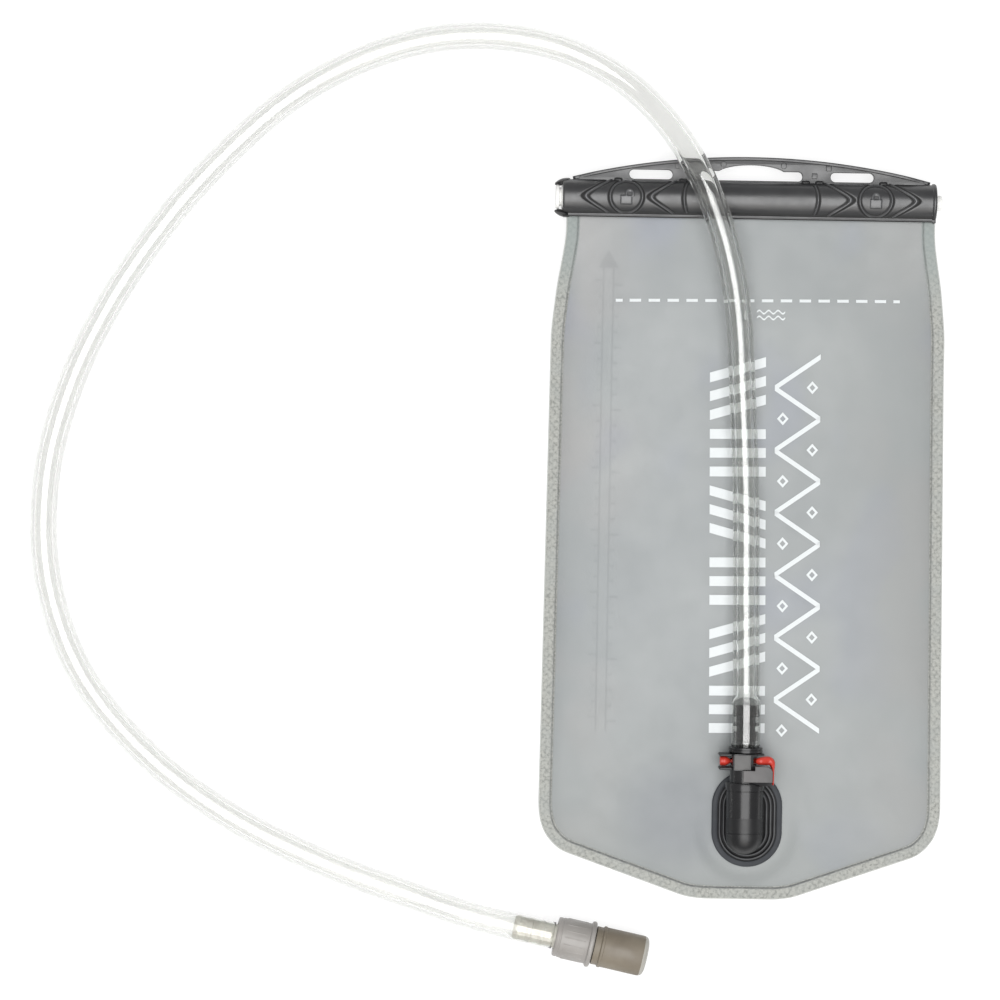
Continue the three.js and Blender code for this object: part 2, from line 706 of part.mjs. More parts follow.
function addDrinkingTube() {
  const points = TUBE_ROUTE.map((point) => new THREE.Vector3(...point));
  const curve = new THREE.CatmullRomCurve3(points, false, "centripetal");
  const section = circle(TUBE_RADIUS, TUBE_SIDES);
  section.holes.push(circle(TUBE_BORE_RADIUS, TUBE_SIDES));
  addPiece("drinking_tube", tubeAlong(curve, section, TUBE_STEPS), "tube");
}

// ---- Bite valve ----

function addBiteValve() {
  const valve = new THREE.Group();
  valve.position.set(...VALVE_START);
  valve.rotation.z = THREE.MathUtils.degToRad(VALVE_ANGLE_DEG - 90);
  bladder.add(valve);
  const stem = turned([
    [1.8, 0.5],
    ...barbProfile(0.8, 17.5, -1),
    [BARB_RADIUS, VALVE_TUBE_END + GAP],
    [5.4, VALVE_TUBE_END + GAP],
    [5.4, 21.2],
    [4.2, 21.4],
    [4.2, 23.6],
    [3.6, 23.7],
    [3.6, 25.7],
    [4.2, 25.8],
    [4.2, 38],
    [0, 38],
    [0, 36],
    [1.8, 35.8],
    [1.8, 0.5],
  ]);
  const sidePort = roundRod(1.4, 12, 12).rotateZ(Math.PI / 2).translate(0, 33, 0);
  addPiece("bite_stem", geometryOf(solidOf(stem).subtract(solidOf(sidePort))), "frosted", valve);
  addPiece("stem_o_ring", ringAt(24.7, 4.45, 0.48), "seal", valve);
  const collar = turned([
    [6.1, 20],
    [8.6, 20],
    [9, 20.6],
    [9.1, 34.9],
    [10.4, 35.3],
    [10.4, 37],
    [9, 37.4],
    [5.3, 37.4],
    [5.3, 22],
    [6.1, 21.8],
    [6.1, 20],
  ]);
  addPiece("shutoff_collar", collar, "collar", valve);
  const core = turned([
    [3, 39.3],
    [7.6, 39.3],
    [7.6, 41],
    [6, 41.2],
    [6, 56],
    [3, 56],
    [3, 39.3],
  ]);
  addPiece("valve_core", core, "frosted", valve);
  const sleeve = turned([
    [5.3, 37.7],
    [8.4, 37.7],
    [8.4, 40.6],
    [9.2, 40.9],
    [9.2, 41.9],
    [9, 42.3],
    [9, 59.2],
    [8.3, 60.8],
    [6.5, 61.7],
    [0, 61.9],
    [0, 59],
    [6, 58.5],
    [6.3, 57],
    [6.3, 41.4],
    [7.9, 41.3],
    [7.9, 39],
    [5.3, 39],
    [5.3, 37.7],
  ]);
  const slit = block([-4, 56, -0.4], [4, 63, 0.4]);
  addPiece("bite_sleeve", geometryOf(solidOf(sleeve).subtract(slit)), "silicone", valve);
}

addFilms();
addClosure();
addFlange();
addElbow();
addHousing();
addLatch();
addThumbPad();
addLatchSpring();
addPoppet();
addPlug();
addDrinkingTube();
addBiteValve();

export default bladder;
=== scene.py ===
"""Looks of a hydration bladder laid flat on a table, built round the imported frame.

Metres in Blender; shapes are worked out in millimetres.
+Z is up, +Y points towards the bladder's mouth and +X to the right.
"""

import math
from contextlib import contextmanager

import bmesh
import bpy
import numpy as np
from mathutils import Matrix, Vector
from mathutils.geometry import delaunay_2d_cdt


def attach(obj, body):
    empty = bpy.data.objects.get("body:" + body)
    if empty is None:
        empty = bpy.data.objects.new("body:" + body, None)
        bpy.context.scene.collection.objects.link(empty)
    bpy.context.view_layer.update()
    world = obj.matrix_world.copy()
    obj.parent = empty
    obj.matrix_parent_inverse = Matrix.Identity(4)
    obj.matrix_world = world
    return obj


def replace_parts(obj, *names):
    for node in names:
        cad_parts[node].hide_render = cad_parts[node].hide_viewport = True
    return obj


MM = 0.001
MERGE_DISTANCE = 1e-7
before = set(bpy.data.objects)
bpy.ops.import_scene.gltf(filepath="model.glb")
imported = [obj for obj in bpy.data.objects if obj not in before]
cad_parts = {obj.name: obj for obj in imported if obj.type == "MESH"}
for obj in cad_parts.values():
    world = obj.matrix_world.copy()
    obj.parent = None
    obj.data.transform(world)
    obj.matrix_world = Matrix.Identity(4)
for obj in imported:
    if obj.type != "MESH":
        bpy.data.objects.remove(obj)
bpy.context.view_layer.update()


# ---------------------------------------------------------------- mesh helpers


def set_marks(obj, marks):
    """Stores two numbers for each vertex in a UV map, for the materials to read."""
    index = np.empty(len(obj.data.loops), dtype=np.int32)
    obj.data.loops.foreach_get("vertex_index", index)
    layer = obj.data.uv_layers.new(name="marks")
    layer.data.foreach_set("uv", np.asarray(marks, float)[index].reshape(-1))


def add_mesh(name, mesh, material=None):
    """A new object in the scene from a mesh."""
    obj = bpy.data.objects.new(name, mesh)
    bpy.context.scene.collection.objects.link(obj)
    if material:
        mesh.materials.append(material)
    return obj


def make_object(name, verts_mm, faces, material):
    """A new object from points and faces, all its faces smooth."""
    mesh = bpy.data.meshes.new(name)
    verts = [tuple(v) for v in np.asarray(verts_mm, float).reshape(-1, 3) * MM]
    mesh.from_pydata(verts, [], [tuple(f) for f in faces])
    mesh.validate()
    mesh.polygons.foreach_set("use_smooth", [True] * len(mesh.polygons))
    return add_mesh(name, mesh, material)


@contextmanager
def edited(mesh):
    """Opens a mesh for editing and stores it again afterwards."""
    bm = bmesh.new()
    bm.from_mesh(mesh)
    yield bm
    bm.to_mesh(mesh)
    bm.free()


def fix_normals(obj):
    with edited(obj.data) as bm:
        bmesh.ops.remove_doubles(bm, verts=bm.verts, dist=MERGE_DISTANCE)
        bmesh.ops.recalc_face_normals(bm, faces=bm.faces)
    return obj


def smooth_by_angle(obj, degrees=35):
    """Smooth faces with sharp edges where the surface turns by more than the angle."""
    limit = math.radians(degrees)
    with edited(obj.data) as bm:
        for face in bm.faces:
            face.smooth = True
        for edge in bm.edges:
            edge.smooth = edge.is_manifold and edge.calc_face_angle(0) < limit
    return obj


def grid_faces(rows, columns, wrap_columns=False, wrap_rows=False, offset=0):
    """Quads between the points of a grid, closed round its rows or columns where asked."""
    r = np.arange(rows if wrap_rows else rows - 1)
    c = np.arange(columns if wrap_columns else columns - 1)
    rr, cc = np.meshgrid(r, c, indexing="ij")
    r2, c2 = (rr + 1) % rows, (cc + 1) % columns
    corners = ((rr, cc), (rr, c2), (r2, c2), (r2, cc))
    quads = np.stack([row * columns + column for row, column in corners], axis=-1)
    return (quads.reshape(-1, 4) + offset).tolist()


def closed_sheet(name, top, bottom, material, marks=None):
    """A closed shell between two grids of points, each rows x columns x 3."""
    rows, columns = top.shape[:2]
    count = rows * columns
    faces = grid_faces(rows, columns)
    faces += [face[::-1] for face in grid_faces(rows, columns, offset=count)]
    edge = [r * columns for r in range(rows)]
    right = [r * columns + columns - 1 for r in range(rows)]
    for line in (edge, right, list(range(columns)), [count - columns + c for c in range(columns)]):
        faces += [(a, b, b + count, a + count) for a, b in zip(line, line[1:])]
    verts = np.concatenate([top.reshape(-1, 3), bottom.reshape(-1, 3)])
    sheet = make_object(name, verts, faces, material)
    if marks is not None:
        set_marks(sheet, marks)
    return fix_normals(sheet)


def lofted(name, rings, material, angle=35):
    """A skin over rings of points, with a flat face at both ends."""
    rows, columns = np.shape(rings)[:2]
    faces = grid_faces(rows, columns, wrap_columns=True)
    faces += [tuple(range(columns)), tuple(range((rows - 1) * columns, rows * columns))]
    return smooth_by_angle(fix_normals(make_object(name, rings, faces, material)), angle)


def full_turn(sides):
    return np.linspace(0, 2 * math.pi, sides, endpoint=False)


def turned(name, profile, material, sides=64, close=False, angle=35):
    """A turned piece about the Y axis. Profile points are (radius, y)."""
    profile = np.asarray(profile, float)
    turn = full_turn(sides)
    radius, along = profile[:, 0][:, None], profile[:, 1][:, None]
    verts = np.stack([radius * np.cos(turn), along + 0 * turn, radius * np.sin(turn)], axis=-1)
    faces = grid_faces(len(profile), sides, wrap_columns=True, wrap_rows=close)
    obj = fix_normals(make_object(name, verts, faces, material))
    with edited(obj.data) as bm:
        bmesh.ops.dissolve_degenerate(bm, edges=bm.edges, dist=MERGE_DISTANCE)
    return smooth_by_angle(obj, angle)


def rounded_profile(points, radius, steps=4):
    """Rounds the corners of a profile: each corner turns on a short arc of points."""
    reach_share, shortest = 0.45, 1e-6
    points = [np.array(p, float) for p in points]
    out = [points[0]]
    for before, here, after in zip(points, points[1:], points[2:]):
        a, b = before - here, after - here
        a_length, b_length = np.linalg.norm(a), np.linalg.norm(b)
        reach = min(radius, a_length * reach_share, b_length * reach_share)
        if reach < shortest:
            out.append(here)
            continue
        start = here + a / a_length * reach
        end = here + b / b_length * reach
        for t in np.linspace(0, 1, steps):
            out.append((1 - t) ** 2 * start + 2 * t * (1 - t) * here + t**2 * end)
    out.append(points[-1])
    return out


def soft_box(name, low, high, material, radius=0.4):
    """A box between two corners, with rounded edges."""
    low, high = np.array(low, float), np.array(high, float)
    mesh = bpy.data.meshes.new(name)
    with edited(mesh) as bm:
        bmesh.ops.create_cube(bm, size=1.0)
        for vert in bm.verts:
            vert.co = Vector(((low + high) / 2 + np.array(vert.co) * (high - low)) * MM)
        bmesh.ops.bevel(
            bm,
            geom=list(bm.edges),
            offset=radius * MM,
            segments=3,
            profile=0.5,
            affect="EDGES",
            clamp_overlap=True,
        )
    return smooth_by_angle(add_mesh(name, mesh, material), 40)


def plate(name, outline, holes, low, high, material, bevel=0.3, segments=2):
    """A flat plate from an outline and its holes, lists of (a, b) points, between two heights."""
    curve = bpy.data.curves.new(name, "CURVE")
    curve.dimensions = "2D"
    curve.fill_mode = "BOTH"
    curve.extrude = ((high - low) / 2 - bevel) * MM
    curve.bevel_depth = bevel * MM
    curve.bevel_resolution = segments
    for ring in [outline, *holes]:
        spline = curve.splines.new("POLY")
        spline.points.add(len(ring) - 1)
        spline.use_cyclic_u = True
        for point, (a, b) in zip(spline.points, ring):
            point.co = (a * MM, b * MM, 0, 1)
    temp = bpy.data.objects.new(name + "_curve", curve)
    bpy.context.scene.collection.objects.link(temp)
    depsgraph = bpy.context.evaluated_depsgraph_get()
    mesh = bpy.data.meshes.new_from_object(temp.evaluated_get(depsgraph))
    bpy.data.objects.remove(temp)
    mesh.transform(Matrix.Translation((0, 0, (low + high) / 2 * MM)))
    mesh.materials.clear()
    return smooth_by_angle(fix_normals(add_mesh(name, mesh, material)), 30)


def joined(name, objects):
    """One object from several, which keep their materials."""
    bm = bmesh.new()
    materials = []
    for obj in objects:
        mesh = obj.data.copy()
        mesh.transform(obj.matrix_world)
        slots = list(obj.data.materials)
        for material in slots:
            if material not in materials:
                materials.append(material)
        remap = [materials.index(material) for material in slots]
        for polygon in mesh.polygons:
            polygon.material_index = remap[polygon.material_index] if remap else 0
        bm.from_mesh(mesh)
        bpy.data.meshes.remove(mesh)
    mesh = bpy.data.meshes.new(name)
    bm.to_mesh(mesh)
    bm.free()
    for material in materials:
        mesh.materials.append(material)
    for obj in objects:
        bpy.data.objects.remove(obj)
    return add_mesh(name, mesh)


def place(obj, matrix):
    obj.data.transform(matrix)
    return obj


def cut(obj, *cutters):
    for cutter in cutters:
        modifier = obj.modifiers.new("cut", "BOOLEAN")
        modifier.operation = "DIFFERENCE"
        modifier.solver = "EXACT"
        modifier.object = cutter
    depsgraph = bpy.context.evaluated_depsgraph_get()
    mesh = bpy.data.meshes.new_from_object(obj.evaluated_get(depsgraph))
    obj.modifiers.clear()
    obj.data = mesh
    for cutter in cutters:
        bpy.data.objects.remove(cutter)
    return smooth_by_angle(obj, 35)


def unit(vectors):
    return vectors / np.linalg.norm(vectors, axis=-1, keepdims=True)


def sideways_and_up(centres):
    """Unit vectors across a line of points, level and upwards."""
    tangents = unit(np.gradient(centres, axis=0))
    side = unit(np.cross(tangents, (0, 0, 1)))
    return side, np.cross(side, tangents)


def evenly(points, spacing):
    """A line of points at an even spacing, and how far along the line each one lies."""
    along = np.concatenate([[0], np.cumsum(np.linalg.norm(np.diff(points, axis=0), axis=1))])
    even = np.linspace(0, along[-1], int(along[-1] / spacing) + 1)
    return np.stack([np.interp(even, along, column) for column in points.T], axis=1), even


def softened(points, passes):
    """The points with each one drawn towards its neighbours; the two end points stay."""
    for _ in range(passes):
        points[1:-1] = (points[:-2] + 2 * points[1:-1] + points[2:]) / 4
    return points


def circle_points(radius, sides, centre=(0, 0), start=0.0, end=2 * math.pi, endpoint=False):
    angles = np.linspace(start, end, sides, endpoint=endpoint)
    return [(centre[0] + radius * math.cos(a), centre[1] + radius * math.sin(a)) for a in angles]


def upright_stadium(radius, straight, centre, steps):
    """Points round a stadium that stands along Y: half circles above and below its centre."""
    x, y = centre
    top = circle_points(radius, steps, (x, y + straight), 0, math.pi, True)
    return top + circle_points(radius, steps, (x, y - straight), math.pi, 2 * math.pi, True)


def smoothstep(low, high, value):
    t = np.clip((np.asarray(value, float) - low) / (high - low), 0, 1)
    return t * t * (3 - 2 * t)


# ---------------------------------------------------------------- dimensions, in millimetres

# Films: the gap and the thickness of the sheets, the weld, the bag's ends and its puff.
GAP = 0.3
FILM = 0.6
WELD_WIDTH = 6.2
BOTTOM_Y = -166.5
MOUTH_Y = 146
# Right half of the bladder's outline, (x, y), from the middle of its bottom edge to its mouth.
SILHOUETTE = [
    (0, BOTTOM_Y), (17, BOTTOM_Y), (24, -165.6), (80, -146), (84.8, -141.8), (87.8, -137.5),
    (89.7, -132), (90.4, -126), (88.4, 88), (86.2, 108), (84.4, 118), (82.5, 130), (82.5, MOUTH_Y),
]
PUFF = 8.4
PUFF_AT_PORT = 5.1
PUFF_REACH = 50

# Slide closure with its handle, and the rails inside it.
SLIDER_Y = 147.3
SLIDER_Z = 8.3
SLIDER_RADIUS = 8
SLIDER_WALL = 1.8
SLIDER_LEFT_X = -84.3
SLIDER_RIGHT_X = 82.4
SLIDER_MIDDLE_X = -0.5
PRONG_LENGTH = 3.6
BADGE_X = 55.6
SLOT_HALF_HEIGHT = 2.6
HANDLE_APEX_Y = 166.3
HANDLE_RADIUS = 331
HANDLE_HALF_SPAN = 80
HANDLE_THICKNESS = 3
BEAD_THICKNESS = 5.4
SLOT_LOW_Y = 155.5
SLOT_HIGH_Y = 160.4
RAIL_RADIUS = 5.6
RAIL_LEFT_X = -87.5
RAIL_RIGHT_X = 85.2

# Port: the socket's axis, the welded flange, the inlet under the elbow and the latch.
PORT = Vector((1.2, 0, 16.4))
FLANGE_X = 3
FLANGE_Y = -129.7
FLANGE_HALF_WIDTH = 15.7
FLANGE_HALF_LENGTH = 21.5
INLET_Y = -129
DOME_Y = -136.5
ELBOW_RADIUS = 8.2
FLANGE_Z = 6.9
LATCH_Y = -103.2

# Hose and bite valve: the valve's axis starts in the hose's far end.
TUBE_RADIUS = 5.95
TUBE_BORE_RADIUS = 3.7
# Centreline of the hose: out of the plug, up over the closure, round the loop to the bite valve.
TUBE_ROUTE = [
    (1.2, -96.4, 16.4), (1.2, -86, 16.4), (1.1, -74, 16.4), (0.3, -31, 16.2), (-0.5, 13, 16.2),
    (-2.7, 57, 17), (-5.2, 93, 19), (-8.6, 114, 21.2), (-14.2, 134, 23.2), (-22.5, 155, 22.8),
    (-37.3, 179.5, 14.5), (-57.5, 199.5, 7.8), (-82.6, 212.7, 6), (-110, 218.5, 6),
    (-138, 218, 6), (-165, 211.5, 6), (-189.5, 200.5, 6), (-211, 186.5, 6), (-229.5, 170, 6),
    (-245.7, 153.2, 6), (-260, 136, 6), (-283.6, 101, 6), (-302, 63, 6), (-313, 21, 6),
    (-312.6, -24.5, 6), (-297.3, -68.5, 6), (-267, -105, 6), (-228, -133, 6), (-183.3, -154, 6),
    (-147, -166.6, 6.8), (-121, -174.6, 9.4), (-101.4, -179.1, 10.4), (-82.8, -183.05, 10.4),
]
VALVE_START = Vector((-101.4, -179.1, 10.4))
VALVE_ANGLE_DEG = -12

PORT_FRAME = Matrix.Translation(PORT * MM)
VALVE_TURN = Matrix.Rotation(math.radians(VALVE_ANGLE_DEG - 90), 4, "Z")
VALVE_FRAME = Matrix.Translation(VALVE_START * MM) @ VALVE_TURN


# ---------------------------------------------------------------- camera, light and table


def add_camera():
    """Looks straight down from 1.5 m, turned by one degree."""
    camera = bpy.data.objects.new("camera", bpy.data.cameras.new("camera"))
    camera.location = (-0.11, 0.0111, 1.5)
    camera.rotation_euler = (0, 0, math.radians(1))
    camera.data.lens = 120
    camera.data.sensor_width = 36
    camera.data.clip_end = 30
    bpy.context.scene.collection.objects.link(camera)
    bpy.context.scene.camera = camera


def add_area(name, location, size, power, color=(1, 1, 1), aim=(0, 0, 0)):
    light = bpy.data.lights.new(name, "AREA")
    light.shape = "RECTANGLE"
    light.size, light.size_y = size
    light.energy = power
    light.color = color
    obj = bpy.data.objects.new(name, light)
    obj.location = location
    obj.rotation_euler = (Vector(aim) - Vector(location)).to_track_quat("-Z", "Y").to_euler()
    bpy.context.scene.collection.objects.link(obj)


def set_colours():
    """Plain display colours, so that the white table stays white."""
    bpy.context.scene.view_settings.view_transform = "Standard"
    bpy.context.scene.view_settings.look = "None"


def add_world(strength):
    world = bpy.data.worlds.new("world")
    world.use_nodes = True
    background = world.node_tree.nodes["Background"]
    background.inputs["Color"].default_value = (1, 1, 1, 1)
    background.inputs["Strength"].default_value = strength
    bpy.context.scene.world = world


def add_floor():
    """A pale, matt table just under the bladder."""
    half = 4.0
    corners = [(-half, -half, 0), (half, -half, 0), (half, half, 0), (-half, half, 0)]
    mesh = bpy.data.meshes.new("floor")
    mesh.from_pydata(corners, [], [(0, 1, 2, 3)])
    shader = Shader("table", (0.3, 0.3, 0.3), roughness=0.9, Specular_IOR_Level=0.1)
    shader.set("Emission Color", (1, 1, 1, 1))
    shader.set("Emission Strength", 0.75)
    floor = add_mesh("floor", mesh, shader.material)
    floor.location.z = -0.6 * MM


# ---------------------------------------------------------------- materials


class Shader:
    """A principled material with short calls for the nodes that feed it."""

    def __init__(self, name, color=(0.5, 0.5, 0.5), roughness=0.5, **sockets):
        self.material = bpy.data.materials.new(name)
        self.material.use_nodes = True
        self.tree = self.material.node_tree
        self.bsdf = self.tree.nodes["Principled BSDF"]
        self.set("Base Color", (*color, 1))
        self.set("Roughness", roughness)
        for socket, value in sockets.items():
            self.set(socket.replace("_", " "), value)
        self.place = self.node("ShaderNodeTexCoord").outputs["Object"]

    def set(self, socket, value):
        self.bsdf.inputs[socket].default_value = value

    def node(self, kind, **settings):
        node = self.tree.nodes.new(kind)
        for key, value in settings.items():
            setattr(node, key, value)
        return node

    def link(self, source, node, socket):
        if isinstance(source, (int, float)):
            node.inputs[socket].default_value = source
        else:
            self.tree.links.new(source, node.inputs[socket])

    def noise(self, scale, detail=2.0, roughness=0.5, stretch=(1, 1, 1)):
        vector = self.place
        if stretch != (1, 1, 1):
            mapping = self.node("ShaderNodeMapping")
            mapping.inputs["Scale"].default_value = stretch
            self.link(vector, mapping, "Vector")
            vector = mapping.outputs["Vector"]
        node = self.node("ShaderNodeTexNoise")
        self.link(vector, node, "Vector")
        node.inputs["Scale"].default_value = scale
        node.inputs["Detail"].default_value = detail
        node.inputs["Roughness"].default_value = roughness
        return node.outputs["Fac"]

    def math(self, operation, a, b=0.0):
        node = self.node("ShaderNodeMath", operation=operation)
        self.link(a, node, 0)
        self.link(b, node, 1)
        return node.outputs[0]

    def times(self, a, b):
        return self.math("MULTIPLY", a, b)

    def band(self, value, low, high, out_low=0.0, out_high=1.0):
        """A soft step from one number to another while the value goes from low to high."""
        node = self.node("ShaderNodeMapRange", interpolation_type="SMOOTHSTEP")
        self.link(value, node, "Value")
        node.inputs["From Min"].default_value = low
        node.inputs["From Max"].default_value = high
        node.inputs["To Min"].default_value = out_low
        node.inputs["To Max"].default_value = out_high
        return node.outputs["Result"]

    def axis(self, letter, vector=None):
        node = self.node("ShaderNodeSeparateXYZ")
        self.link(vector or self.place, node, "Vector")
        return node.outputs[letter]

    def marks(self):
        """The two numbers that set_marks stores."""
        uv = self.node("ShaderNodeUVMap", uv_map="marks").outputs["UV"]
        return self.axis("X", uv), self.axis("Y", uv)

    def distance(self, point_mm):
        node = self.node("ShaderNodeVectorMath", operation="DISTANCE")
        self.link(self.place, node, 0)
        node.inputs[1].default_value = [value * MM for value in point_mm]
        return node.outputs["Value"]

    def ramp(self, factor, stops):
        node = self.node("ShaderNodeValToRGB")
        elements = node.color_ramp.elements
        while len(elements) < len(stops):
            elements.new(0.5)
        for element, (position, color) in zip(elements, stops):
            element.position = position
            element.color = (*color, 1)
        self.link(factor, node, "Fac")
        return node.outputs["Color"]

    def mix(self, factor, a, b):
        node = self.node("ShaderNodeMix", data_type="RGBA")
        self.link(factor, node, "Factor")
        for socket, value in ((6, a), (7, b)):
            if isinstance(value, tuple):
                node.inputs[socket].default_value = (*value, 1)
            else:
                self.tree.links.new(value, node.inputs[socket])
        return node.outputs[2]

    def color(self, source):
        self.tree.links.new(source, self.bsdf.inputs["Base Color"])

    def rough(self, source):
        self.tree.links.new(source, self.bsdf.inputs["Roughness"])

    def bump(self, height, distance_mm, strength=1.0):
        node = self.node("ShaderNodeBump")
        node.inputs["Distance"].default_value = distance_mm * MM
        node.inputs["Strength"].default_value = strength
        self.link(height, node, "Height")
        self.tree.links.new(node.outputs["Normal"], self.bsdf.inputs["Normal"])


def moulded(name, dark, light, roughness, grain=900, bump_mm=0.02, specular=0.5, marked=False):
    """Moulded plastic or rubber: a fine grain, soft patches of colour and a gloss that varies.

    On a marked piece the fine grooves are painted nearly black as painted shade, and the raised
    lines are painted lighter as a painted highlight.
    """
    shader = Shader(name, Specular_IOR_Level=specular)
    tone = shader.ramp(shader.noise(60, 3, 0.55), [(0.3, dark), (0.72, light)])
    gloss = shader.band(shader.noise(140, 3, 0.6), 0.3, 0.7, *roughness)
    if marked:
        across, along = shader.marks()
        groove, ridge = shader.band(across, 0.1, 0.7), shader.band(along, 0.2, 0.9)
        # Painted shade: the grooves and the painted shadow by the slot turn nearly black.
        tone = shader.mix(groove, tone, (0.003, 0.003, 0.003))
        # Painted highlight: the raised lines turn lighter.
        tone = shader.mix(ridge, tone, tuple(2.6 * c for c in light))
        gloss = shader.math("ADD", gloss, shader.times(groove, 0.55))
    shader.color(tone)
    shader.rough(gloss)
    shader.bump(shader.noise(grain, 2, 0.6), bump_mm, 0.6)
    return shader.material


def film_material(name, alpha):
    """Translucent polyurethane film: cool grey, warmer at its edges, with soft cloudy patches."""
    shader = Shader(name, Alpha=alpha)
    cloud = shader.noise(14, 3, 0.55)
    tone = shader.ramp(cloud, [(0.3, (0.386, 0.41, 0.418)), (0.7, (0.452, 0.474, 0.475))])
    blue = shader.band(shader.noise(26, 1, 0.5, stretch=(1, 0.7, 1)), 0.56, 0.72, 0, 0.8)
    tone = shader.mix(blue, tone, (0.39, 0.415, 0.462))
    side = shader.band(shader.math("ABSOLUTE", shader.axis("X")), 0.035, 0.085)
    rosy = shader.times(side, shader.band(shader.noise(20, 2), 0.4, 0.6))
    tone = shader.mix(shader.times(rosy, 0.6), tone, (0.478, 0.468, 0.462))
    low = shader.band(shader.axis("Y"), -0.15, -0.04, 0.55, 0.0)
    right = shader.band(shader.axis("X"), -0.01, 0.07, 0.0, 0.4)
    tone = shader.mix(shader.math("MAXIMUM", low, right), tone, (0.365, 0.385, 0.378))
    beside_port = shader.band(shader.distance((-28, -128, 7)), 0.010, 0.034, 1.0, 0.0)
    shader.color(shader.mix(shader.times(beside_port, 0.75), tone, (0.305, 0.325, 0.345)))
    shader.rough(shader.band(shader.noise(90, 3), 0.3, 0.7, 0.36, 0.5))
    shader.bump(shader.noise(1600, 2, 0.6), 0.012, 0.5)
    return shader.material


def weld_material():
    """The welded rim: knurled, its crests painted pale as a painted highlight, with a dark line
    along its inner edge.
    """
    shader = Shader("weld", Specular_IOR_Level=0.3)
    height, across = shader.marks()
    grain = shader.noise(1000, 3, 0.65)
    blotch = shader.noise(110, 3, 0.6)
    tone = shader.ramp(grain, [(0.38, (0.20, 0.205, 0.19)), (0.62, (0.38, 0.385, 0.36))])
    # Painted highlight: the knurl's raised crests are painted paler.
    tone = shader.mix(shader.band(height, 0.3, 0.95, 0, 0.7), tone, (0.39, 0.395, 0.368))
    tone = shader.mix(shader.band(blotch, 0.35, 0.7, 0, 0.35), tone, (0.305, 0.325, 0.318))
    near_mouth = shader.band(shader.axis("Y"), 0.095, 0.13, 0, 0.75)
    tone = shader.mix(near_mouth, tone, (0.25, 0.285, 0.28))
    line = shader.times(shader.band(across, 0.74, 0.78), shader.band(across, 0.86, 0.9, 1, 0.0))
    low = shader.band(shader.axis("Y"), -0.15, -0.125, 1.0, 0.55)
    spots = shader.times(shader.band(shader.noise(330, 2, 0.5), 0.4, 0.62, 0.7, 1.0), low)
    tone = shader.mix(shader.times(line, spots), tone, (0.15, 0.155, 0.155))
    shader.color(shader.mix(shader.band(across, 0.02, 0.12, 1, 0), tone, (0.55, 0.56, 0.54)))
    shader.rough(shader.band(grain, 0.3, 0.7, 0.45, 0.65))
    shader.bump(grain, 0.06, 0.7)
    return shader.material


def print_material(name, color):
    """Screen-printed ink, slightly uneven."""
    shader = Shader(name)
    uneven = shader.noise(260, 3, 0.6)
    shader.color(shader.ramp(uneven, [(0.3, tuple(0.93 * c for c in color)), (0.7, color)]))
    shader.rough(shader.band(uneven, 0.3, 0.7, 0.45, 0.6))
    shader.bump(shader.noise(1500, 2), 0.01, 0.5)
    return shader.material


def clear_material():
    """Clear hose with a glossy skin, a little milky where its wall is seen edge-on."""
    shader = Shader("clear_tube", (1, 1, 1), 0.04, Transmission_Weight=1.0, IOR=1.12)
    shader.set("Coat Weight", 1.0)
    shader.set("Coat Roughness", 0.05)
    shader.set("Coat IOR", 1.62)
    rim = shader.node("ShaderNodeLayerWeight")
    rim.inputs["Blend"].default_value = 0.35
    edge = shader.band(rim.outputs["Facing"], 0.08, 0.36)
    shader.color(shader.mix(edge, (0.95, 0.953, 0.94), (0.855, 0.862, 0.842)))
    shader.rough(shader.band(shader.noise(30, 1), 0.3, 0.7, 0.02, 0.05))
    return shader.material


def frosted_material():
    """Frosted translucent plastic."""
    shader = Shader("frosted", Transmission_Weight=0.1, IOR=1.45)
    cloud = shader.noise(260, 3, 0.6)
    shader.color(shader.ramp(cloud, [(0.36, (0.60, 0.57, 0.51)), (0.62, (0.78, 0.77, 0.70))]))
    shader.rough(shader.band(cloud, 0.3, 0.7, 0.36, 0.5))
    shader.bump(shader.noise(900, 2), 0.02, 0.5)
    return shader.material


def steel_material():
    """Drawn spring wire."""
    shader = Shader("spring_steel", Metallic=1.0)
    grain = shader.noise(500, 3, 0.6, stretch=(1, 6, 1))
    shader.color(shader.ramp(grain, [(0.3, (0.50, 0.51, 0.52)), (0.7, (0.64, 0.65, 0.66))]))
    shader.rough(shader.band(grain, 0.3, 0.7, 0.2, 0.36))
    shader.bump(grain, 0.01, 0.4)
    return shader.material


